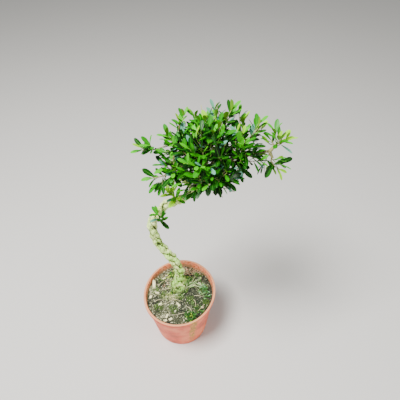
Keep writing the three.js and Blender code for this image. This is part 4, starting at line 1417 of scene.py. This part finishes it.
wood = []
for number, (name, mass) in enumerate(masses.items()):
    halfway = (mass["root"] + mass["crotch"]) / 2
    stem = {"from": mass["root"], "bend": halfway, "to": mass["crotch"], "order": 0}
    for twig in [stem, *mass["leafy"], *mass["bare"]]:
        twig["line"] = twig_line(twig, number)
        dead = any(twig is stick for stick in mass["bare"])
        thick, thin = STICK_RADII if dead else TWIG_RADII[twig["order"]]
        share = np.linspace(0, 1, len(twig["line"]))
        vertices, faces = tube(twig["line"], thick + (thin - thick) * share, TWIG_SIDES)
        ripeness = GREEN if twig["order"] == FINE_ORDERS - 1 else RIPE
        wood.append((vertices, faces, DEAD if dead else ripeness))
twigs = joined("twigs", wood, TWIG_BARKS)
settled(twigs, "bark")


# Leaves
# Small leathery leaves in opposite pairs, each pair turned a right angle from the next and most of them
# at the shoots' ends. Each is widest past its middle, with a round tip and a pale midrib in a shallow fold.

LEAF_LENGTH = 15.0
LEAF_SLENDER = 0.34
LEAF_THICKNESS = 0.3
LEAF_FOLD = 0.2
# Each pair from a shoot's end down: how far back it sits, its lean in degrees and its size.
LEAF_PAIRS = [
    {"back": 0.8, "lean": 24, "size": 0.84},
    {"back": 3.4, "lean": 44, "size": 1.0},
    {"back": 7.2, "lean": 58, "size": 1.0},
    {"back": 11.4, "lean": 64, "size": 0.92},
    {"back": 15.8, "lean": 68, "size": 0.84},
]
LEAF_SMALLEST = 0.76
LEAF_LARGEST = 1.12
LEAF_NARROWEST = 0.88
LEAF_BREADTHS = 0.24
LEAF_LEAST_DROOP = 0.02
LEAF_DROOPS = 0.14
LEAF_STRAY = 20
LEAFY_SHARE = 0.75
LEAF_FACE_UP = 1.2
LEAF_GAP = 2.1
LEAF_CELL_SLACK = 3.5
LEAF_LIMB_CLEARANCE = 0.9
TURNS_TRIED = 4
# Where the rows of a leaf's points lie, as shares of its length.
LEAF_ROWS = np.array([-0.02, 0.07, 0.19, 0.34, 0.49, 0.63, 0.76, 0.87, 0.94, 0.985])
# Marks on a leaf, as shares of its length and of its half width, by which it is kept clear of the others.
LEAF_MARKS = ([0.4, 0.7, 1.0, 0.62, 0.62], [0, 0, 0, 0.9, -0.9])
LEAF_NEIGHBOURS = 1.2 * LEAF_LENGTH
# A leaf's outline rises from the stalk, is broadest at about two thirds of its length and falls to a round
# tip. The midrib narrows all the way. Both are shares of the leaf's half width.
OUTLINE_SCALE = 1.75
OUTLINE_RISE = 0.85
OUTLINE_FALL = 2.6
OUTLINE_ROUNDING = 0.62
MIDRIB_SCALE = 0.11
MIDRIB_END = 1.1
MIDRIB_LIMIT = 0.9
NARROWEST_HALF = 0.3

# Leather-like living leaves, half glossy above from a wax coat. They darken with age, from the yellow-green
# of the last weeks' growth to the deep green of old leaves, and their tones also carry painted light: lighter
# on the crown's outside and top, painted shade inside it.
LEAF_TONES = [
    ("shaded_leaf", "#031002"), ("old_leaf_and_painted_shade", "#062302"), ("grown_leaf_and_painted_half_light", "#0c4402"),
    ("sunlit_leaf", "#1f7a00"), ("fresh_leaf_and_painted_light", "#42a800"), ("young_leaf_and_painted_light", "#92d000"),
    # The pale blue-green tone is a painted reflection of the sky in a leaf's gloss.
    ("painted_sky_sheen_leaf", "#5c9a80"),
]
# The midrib is paler than the blade, and the underside is pale and without gloss; the lighter upper tones
# take a lighter underside, partly as painted light.
DULL_LEAF_TONES = [
    ("leaf_midrib", "#3f8c10"), ("leaf_underside", "#1f5c12"), ("young_and_lit_leaf_underside", "#6fa51a"),
]
FRESH_AND_LIT = 4
YOUNGEST_AND_BRIGHTEST = 5
SKY_SHEEN, MIDRIB, UNDERSIDE, YOUNG_AND_LIT_UNDERSIDE = range(6, 10)
leaf_materials = [plain_material(*tone, Roughness=0.42, IOR=1.28) for tone in LEAF_TONES]
leaf_materials += [plain_material(*tone, Roughness=0.6, IOR=1.45) for tone in DULL_LEAF_TONES]


def leaf_at(root, direction, face, size, slender, droop):
    """A leaf's place: its root, its three axes, its length and half width, and the curve of its midrib."""
    across = unit(np.cross(direction, face))
    normal = np.cross(across, direction)
    length = LEAF_LENGTH * size
    return {
        "root": root, "ahead": direction, "across": across, "normal": normal, "length": length,
        "half": length * slender / 2, "droop": droop,
    }


def leaf_spots(leaf, shares, asides):
    """Points on a leaf, at shares of its length and of its half width."""
    shares = np.asarray(shares, float)[:, None]
    asides = np.asarray(asides, float)[:, None]
    return (
        leaf["root"] + leaf["ahead"] * leaf["length"] * shares + leaf["across"] * leaf["half"] * asides
        - leaf["normal"] * leaf["length"] * leaf["droop"] * shares ** 2
    )


def leaf_shape(leaf, upper, under, midrib=None):
    """A leaf's closed mesh: rows of two rims, two points beside the midrib above, and one below it."""
    rows = np.clip(LEAF_ROWS, 0, 1)
    outline = OUTLINE_SCALE * rows ** OUTLINE_RISE * (1 - rows ** OUTLINE_FALL) ** OUTLINE_ROUNDING
    widths = np.maximum(outline, NARROWEST_HALF / leaf["half"])
    rib = np.minimum(MIDRIB_SCALE * (MIDRIB_END - rows), MIDRIB_LIMIT * widths)
    fold = LEAF_FOLD * widths * leaf["half"]
    above = np.full(len(rows), LEAF_THICKNESS / 2)
    middle = np.zeros(len(rows))
    vertices = []
    for aside, rise in [(-widths, fold), (-rib, above), (rib, above), (widths, fold), (middle, -above)]:
        vertices.append(leaf_spots(leaf, LEAF_ROWS, aside) + leaf["normal"] * rise[:, None])
    vertices = np.stack(vertices, axis=1).reshape(-1, 3)
    vertices = np.concatenate([vertices, leaf_spots(leaf, [1.0], [0.0])])
    tip = len(vertices) - 1
    faces = [(4, 3, 2, 1, 0)]
    numbers = [under]
    columns = [upper, upper if midrib is None else midrib, upper, under, under]
    for row in range(len(rows)):
        for k, number in enumerate(columns):
            low, beside = 5 * row + k, 5 * row + (k + 1) % 5
            if row + 1 < len(rows):
                faces.append((low, beside, beside + 5, low + 5))
            else:
                faces.append((low, beside, tip))
            numbers.append(number)
    return vertices, faces, numbers


def place_back(line, back):
    """The place and direction on a line, this far back from its end."""
    steps = steps_along(line)[::-1]
    run = 0
    for k, step in enumerate(steps):
        if run + step >= back or k == len(steps) - 1:
            near, far = line[-1 - k], line[-2 - k]
            return near + (far - near) * min(1, (back - run) / step), unit(near - far)
        run += step


def shoot_leaves(twig, turn, traits):
    """The leaves of a twig's end, each with its pair's number, if the first pair is turned this way."""
    leaves = []
    length = steps_along(twig["line"]).sum()
    for k, pair in enumerate(LEAF_PAIRS):
        if pair["back"] > LEAFY_SHARE * length:
            break
        root, axis = place_back(twig["line"], pair["back"])
        side = unit(square_to(axis))
        face = axis + UP * LEAF_FACE_UP
        for half in (0, 1):
            spin = turn + k * math.pi / 2 + half * math.pi
            out = side * math.cos(spin) + np.cross(axis, side) * math.sin(spin)
            size, slender, droop, stray = traits[k][half]
            lean = math.radians(pair["lean"] + stray)
            direction = unit(axis * math.cos(lean) + out * math.sin(lean))
            leaves.append((k, leaf_at(root, direction, face, pair["size"] * size, slender, droop)))
    return leaves


def leaf_fits(leaf, name, others):
    """A leaf's marks, if it keeps to its cell and clear of limbs and of the other leaves' marks."""
    marks = leaf_spots(leaf, *LEAF_MARKS)
    if depth_in_cell(marks, name).min() < -LEAF_CELL_SLACK:
        return None
    if clear_of_limbs(marks, name).min() < LEAF_LIMB_CLEARANCE:
        return None
    near = others[np.linalg.norm(others[:, 1] - marks[1], axis=1) < LEAF_NEIGHBOURS]
    if len(near):
        apart = np.linalg.norm(near.reshape(-1, 1, 3) - marks[None, :, :], axis=2)
        if apart.min() < LEAF_GAP:
            return None
    return marks


# How many steps of tone lighter or darker a mass's leaves are than the crown's.
MASS_TONE_SHIFTS = {
    "leaves_collar": 2.6, "leaves_right_high": 0.6, "leaves_end_high": 1.0, "leaves_end_low": 0.7,
    "leaves_knee": 0.6, "leaves_back": -0.3, "leaves_left": 0.4, "leaves_left_high": 0.3,
}
# Steps of tone: painted shade inside the crown and painted light at its outside and top, how much twigs and
# leaves vary, how much younger an end pair is, and how much older each pair below it is.
TONE_INSIDE = 0.2
TONE_OUTSIDE = 2.2
TONE_TOP = 0.5
TWIG_TONES = 1.8
LEAF_TONE_SPREAD = 0.8
END_PAIR_YOUNGER = 0.9
PAIR_OLDER = 0.25
OUTERMOST = 1.1
# Shares of sprays and of single leaves that take the painted sky reflection.
SKY_SHEEN_TWIGS = 0.015
SKY_SHEEN_LEAVES = 0.035
LEAF_SHARP_ANGLE = 60


def leaf_traits(draw):
    """A leaf's size, how slender it is, how far it droops and how many degrees it strays."""
    size = LEAF_SMALLEST + (LEAF_LARGEST - LEAF_SMALLEST) * draw()
    slender = LEAF_SLENDER * (LEAF_NARROWEST + LEAF_BREADTHS * draw())
    droop = LEAF_LEAST_DROOP + LEAF_DROOPS * draw()
    return size, slender, droop, LEAF_STRAY * (draw() - 0.5)


def leaves_that_fit(twig, name, first, traits, taken):
    """The most leaves that fit on a twig of several turns tried, and the marks then taken."""
    best, best_taken = [], taken
    for k in range(TURNS_TRIED):
        found, found_taken = [], taken
        for leaf in shoot_leaves(twig, first + k * math.pi / TURNS_TRIED, traits):
            marks = leaf_fits(leaf[1], name, found_taken)
            if marks is not None:
                found.append(leaf)
                found_taken = np.concatenate([found_taken, marks[None]])
        if len(found) > len(best):
            best, best_taken = found, found_taken
    return best, best_taken


taken = np.zeros((0, len(LEAF_MARKS[0]), 3))
for number, (name, mass) in enumerate(masses.items()):
    draw = seeded(100 + number)
    sprays = []
    for twig in mass["leafy"]:
        first = 2 * math.pi * draw()
        traits = [[leaf_traits(draw) for half in (0, 1)] for pair in LEAF_PAIRS]
        leaves, taken = leaves_that_fit(twig, name, first, traits, taken)
        reach = np.clip((twig["to"] - CROWN_CENTRE) / CROWN_RADII, -OUTERMOST, OUTERMOST)
        out = min(OUTERMOST, np.linalg.norm(reach))
        # Leaves on the crown's outside and top step lighter and those inside darker: painted light and shade.
        tone = TONE_INSIDE + TONE_OUTSIDE * out ** 2 + TONE_TOP * reach[2] + TWIG_TONES * (draw() - 0.5)
        tone += MASS_TONE_SHIFTS.get(name, 0)
        sky_sheened = draw() < SKY_SHEEN_TWIGS
        for k, leaf in leaves:
            younger = END_PAIR_YOUNGER if k == 0 else 0
            step = round(tone + younger + LEAF_TONE_SPREAD * (draw() - 0.5) - PAIR_OLDER * k)
            upper = SKY_SHEEN if sky_sheened or draw() < SKY_SHEEN_LEAVES else max(0, min(YOUNGEST_AND_BRIGHTEST, step))
            under = YOUNG_AND_LIT_UNDERSIDE if upper >= FRESH_AND_LIT else UNDERSIDE
            sprays.append(leaf_shape(leaf, upper, under, MIDRIB))
    foliage = joined(name + "_sprays", sprays, leaf_materials)
    foliage.data.set_sharp_from_angle(angle=math.radians(LEAF_SHARP_ANGLE))
    settled(foliage, "leaf", name)


# Weeds
# Small weeds that have sown themselves: grass beside the trunk's foot, leafy seedlings at the back left
# and the right, and a dark tuft in front, close to the rim.

# Live grass and herbs: thin soft blades, half dull, deep green below and light where they reach the sun.
HERB_TONES = [
    ("shaded_herb", "#1f4a16"), ("green_herb", "#458430"), ("light_herb", "#a4cc7c"),
    # The bleached tone is partly pale dead blades and partly painted light, lifting the blades round the
    # trunk's foot out of their own shade.
    ("yellow_herb", "#b4d04a"), ("blue_green_herb", "#84c486"), ("bleached_and_painted_lit_herb", "#e6f0b4"),
]
herb_materials = [plain_material(*tone, Roughness=0.55, IOR=1.4) for tone in HERB_TONES]

# Where a tuft stands and how wide, how far and high it reaches, and how many blades it has, how broad and
# of which tones. The two widest ones grow round the trunk's foot.
GRASS_TUFTS = [
    ((10, 23), 2.5, (6, 11), 34, 1.3, (0, 1, 2)), ((14, 15), 2.5, (7, 8), 24, 1.2, (0, 1, 2)),
    ((10, 17), 2.5, (5, 16), 14, 1.5, (2, 2, 1)), ((33, -29), 2.5, (6, 8), 9, 0.7, (1, 2)),
    ((18, -20), 2.5, (3, 10), 4, 0.7, (2,)), ((24, 30), 2.5, (7, 8), 8, 0.7, (1, 2)),
    ((35, 4), 2.5, (7, 8), 12, 0.7, (4, 1)), ((-1.9, 11.6), 12.5, (4, 21), 44, 0.9, (5, 2, 2, 3)),
    ((-1.9, 10.5), 13.5, (9, 6), 44, 0.8, (2, 3, 5, 1)), ((15, -38), 4, (8, 10), 30, 1.1, (0, 1, 1, 3)),
    ((20, 14), 3, (17, 11), 9, 0.8, (5, 5, 2)),
]
BLADE_FLATNESS = 0.3
BLADE_SIDES = 6
BLADE_STEPS = 9
BLADE_BURIED = 0.5
# How much of its row's reach and height a blade has at least, how its line leans out and nods at its end,
# how much narrower that is, and the turn in radians from one blade's foot to the next.
BLADE_LEAST_REACH = 0.3
BLADE_LEAST_HEIGHT = 0.5
BLADE_ARCH = 1.8
BLADE_NOD = 0.55
BLADE_TAPER = 0.85
BLADE_TURN = 7
WALL_CLEARANCE = 2.0
RIM_CLEARANCE = 1.0

draw = seeded(7)
blades = []
around = 2 * np.pi * np.arange(BLADE_SIDES) / BLADE_SIDES
oval = 1 / np.hypot(np.cos(around), np.sin(around) / BLADE_FLATNESS)
share = np.linspace(0, 1, BLADE_STEPS)
for (x, y), spread, (reach, height), count, wide, tones in GRASS_TUFTS:
    for k in range(count):
        heading = 2 * np.pi * draw()
        lean = reach * (BLADE_LEAST_REACH + (1 - BLADE_LEAST_REACH) * draw())
        tall = height * (BLADE_LEAST_HEIGHT + (1 - BLADE_LEAST_HEIGHT) * draw())
        turn = BLADE_TURN * k
        root = np.array([x + spread * math.cos(turn), y + spread * math.sin(turn)])
        foot = np.array([*root, soil_height(*root) - BLADE_BURIED])
        line = foot + np.column_stack([
            lean * math.cos(heading) * share ** BLADE_ARCH, lean * math.sin(heading) * share ** BLADE_ARCH,
            tall * np.sin(share * np.pi * BLADE_NOD),
        ])
        width = wide * (1 - BLADE_TAPER * share ** 2)
        tone = tones[int(draw() * len(tones))]
        by_wall = np.linalg.norm(line[:, :2], axis=1) > soil_edge - WALL_CLEARANCE
        below_rim = line[:, 2] < POT_HEIGHT + RIM_CLEARANCE
        if not (by_wall & below_rim).any():
            blades.append((*tube(line, width[:, None] * oval[None, :], BLADE_SIDES), tone))
grass = joined("grass", blades, herb_materials)
settled(grass, "soil")

# Where a seedling stands, how far and high its leaves reach, and their number, length and tones.
SEEDLINGS = [
    ((-15, 31), (5, 5), 14, 3.8, (1, 3, 3)), ((35, 6), (7, 4), 22, 3.6, (4, 4, 1)),
    ((39, -5), (4, 3), 10, 3.4, (4, 1)), ((15, -36), (8, 5), 52, 3.2, (0, 0, 1)),
    ((18, -43), (4, 3), 14, 3.2, (1, 3)), ((-13, 37), (4, 3), 7, 3.4, (1, 3)),
    ((26, -22), (8, 3), 12, 3.0, (0, 1)), ((28, 22), (8, 3), 12, 3.0, (1, 2)),
]
HERB_SLENDER = 0.5
HERB_DROOP = 0.2
# How far above the soil the lowest leaves start, how domed a seedling is, and how its leaves climb and vary.
HERB_LIFT = 0.5
HERB_DOME = 0.8
HERB_LEAST_CLIMB = 0.1
HERB_CLIMBS = 0.7
HERB_SMALLEST = 0.75
HERB_SIZES = 0.5
draw = seeded(9)
herbs = []
for (x, y), (reach, height), count, length, tones in SEEDLINGS:
    for k in range(count):
        heading = 2 * np.pi * draw()
        away = math.sqrt(draw())
        place = np.array([x + reach * away * math.cos(heading), y + reach * away * math.sin(heading)])
        rise = HERB_LIFT + height * (1 - HERB_DOME * away) * draw()
        root = np.array([*place, soil_height(*place) + rise])
        spin = 2 * np.pi * draw()
        climb = HERB_LEAST_CLIMB + HERB_CLIMBS * draw()
        direction = unit(np.array([math.cos(spin), math.sin(spin), climb]))
        size = length / LEAF_LENGTH * (HERB_SMALLEST + HERB_SIZES * draw())
        tone = tones[int(draw() * len(tones))]
        leaf = leaf_at(root, direction, UP, size, HERB_SLENDER, HERB_DROOP)
        if np.linalg.norm(leaf_spots(leaf, [1.0], [0.0])[0][:2]) < soil_edge:
            herbs.append(leaf_shape(leaf, tone, tone))
seedlings = joined("seedlings", herbs, herb_materials)
settled(seedlings, "soil")
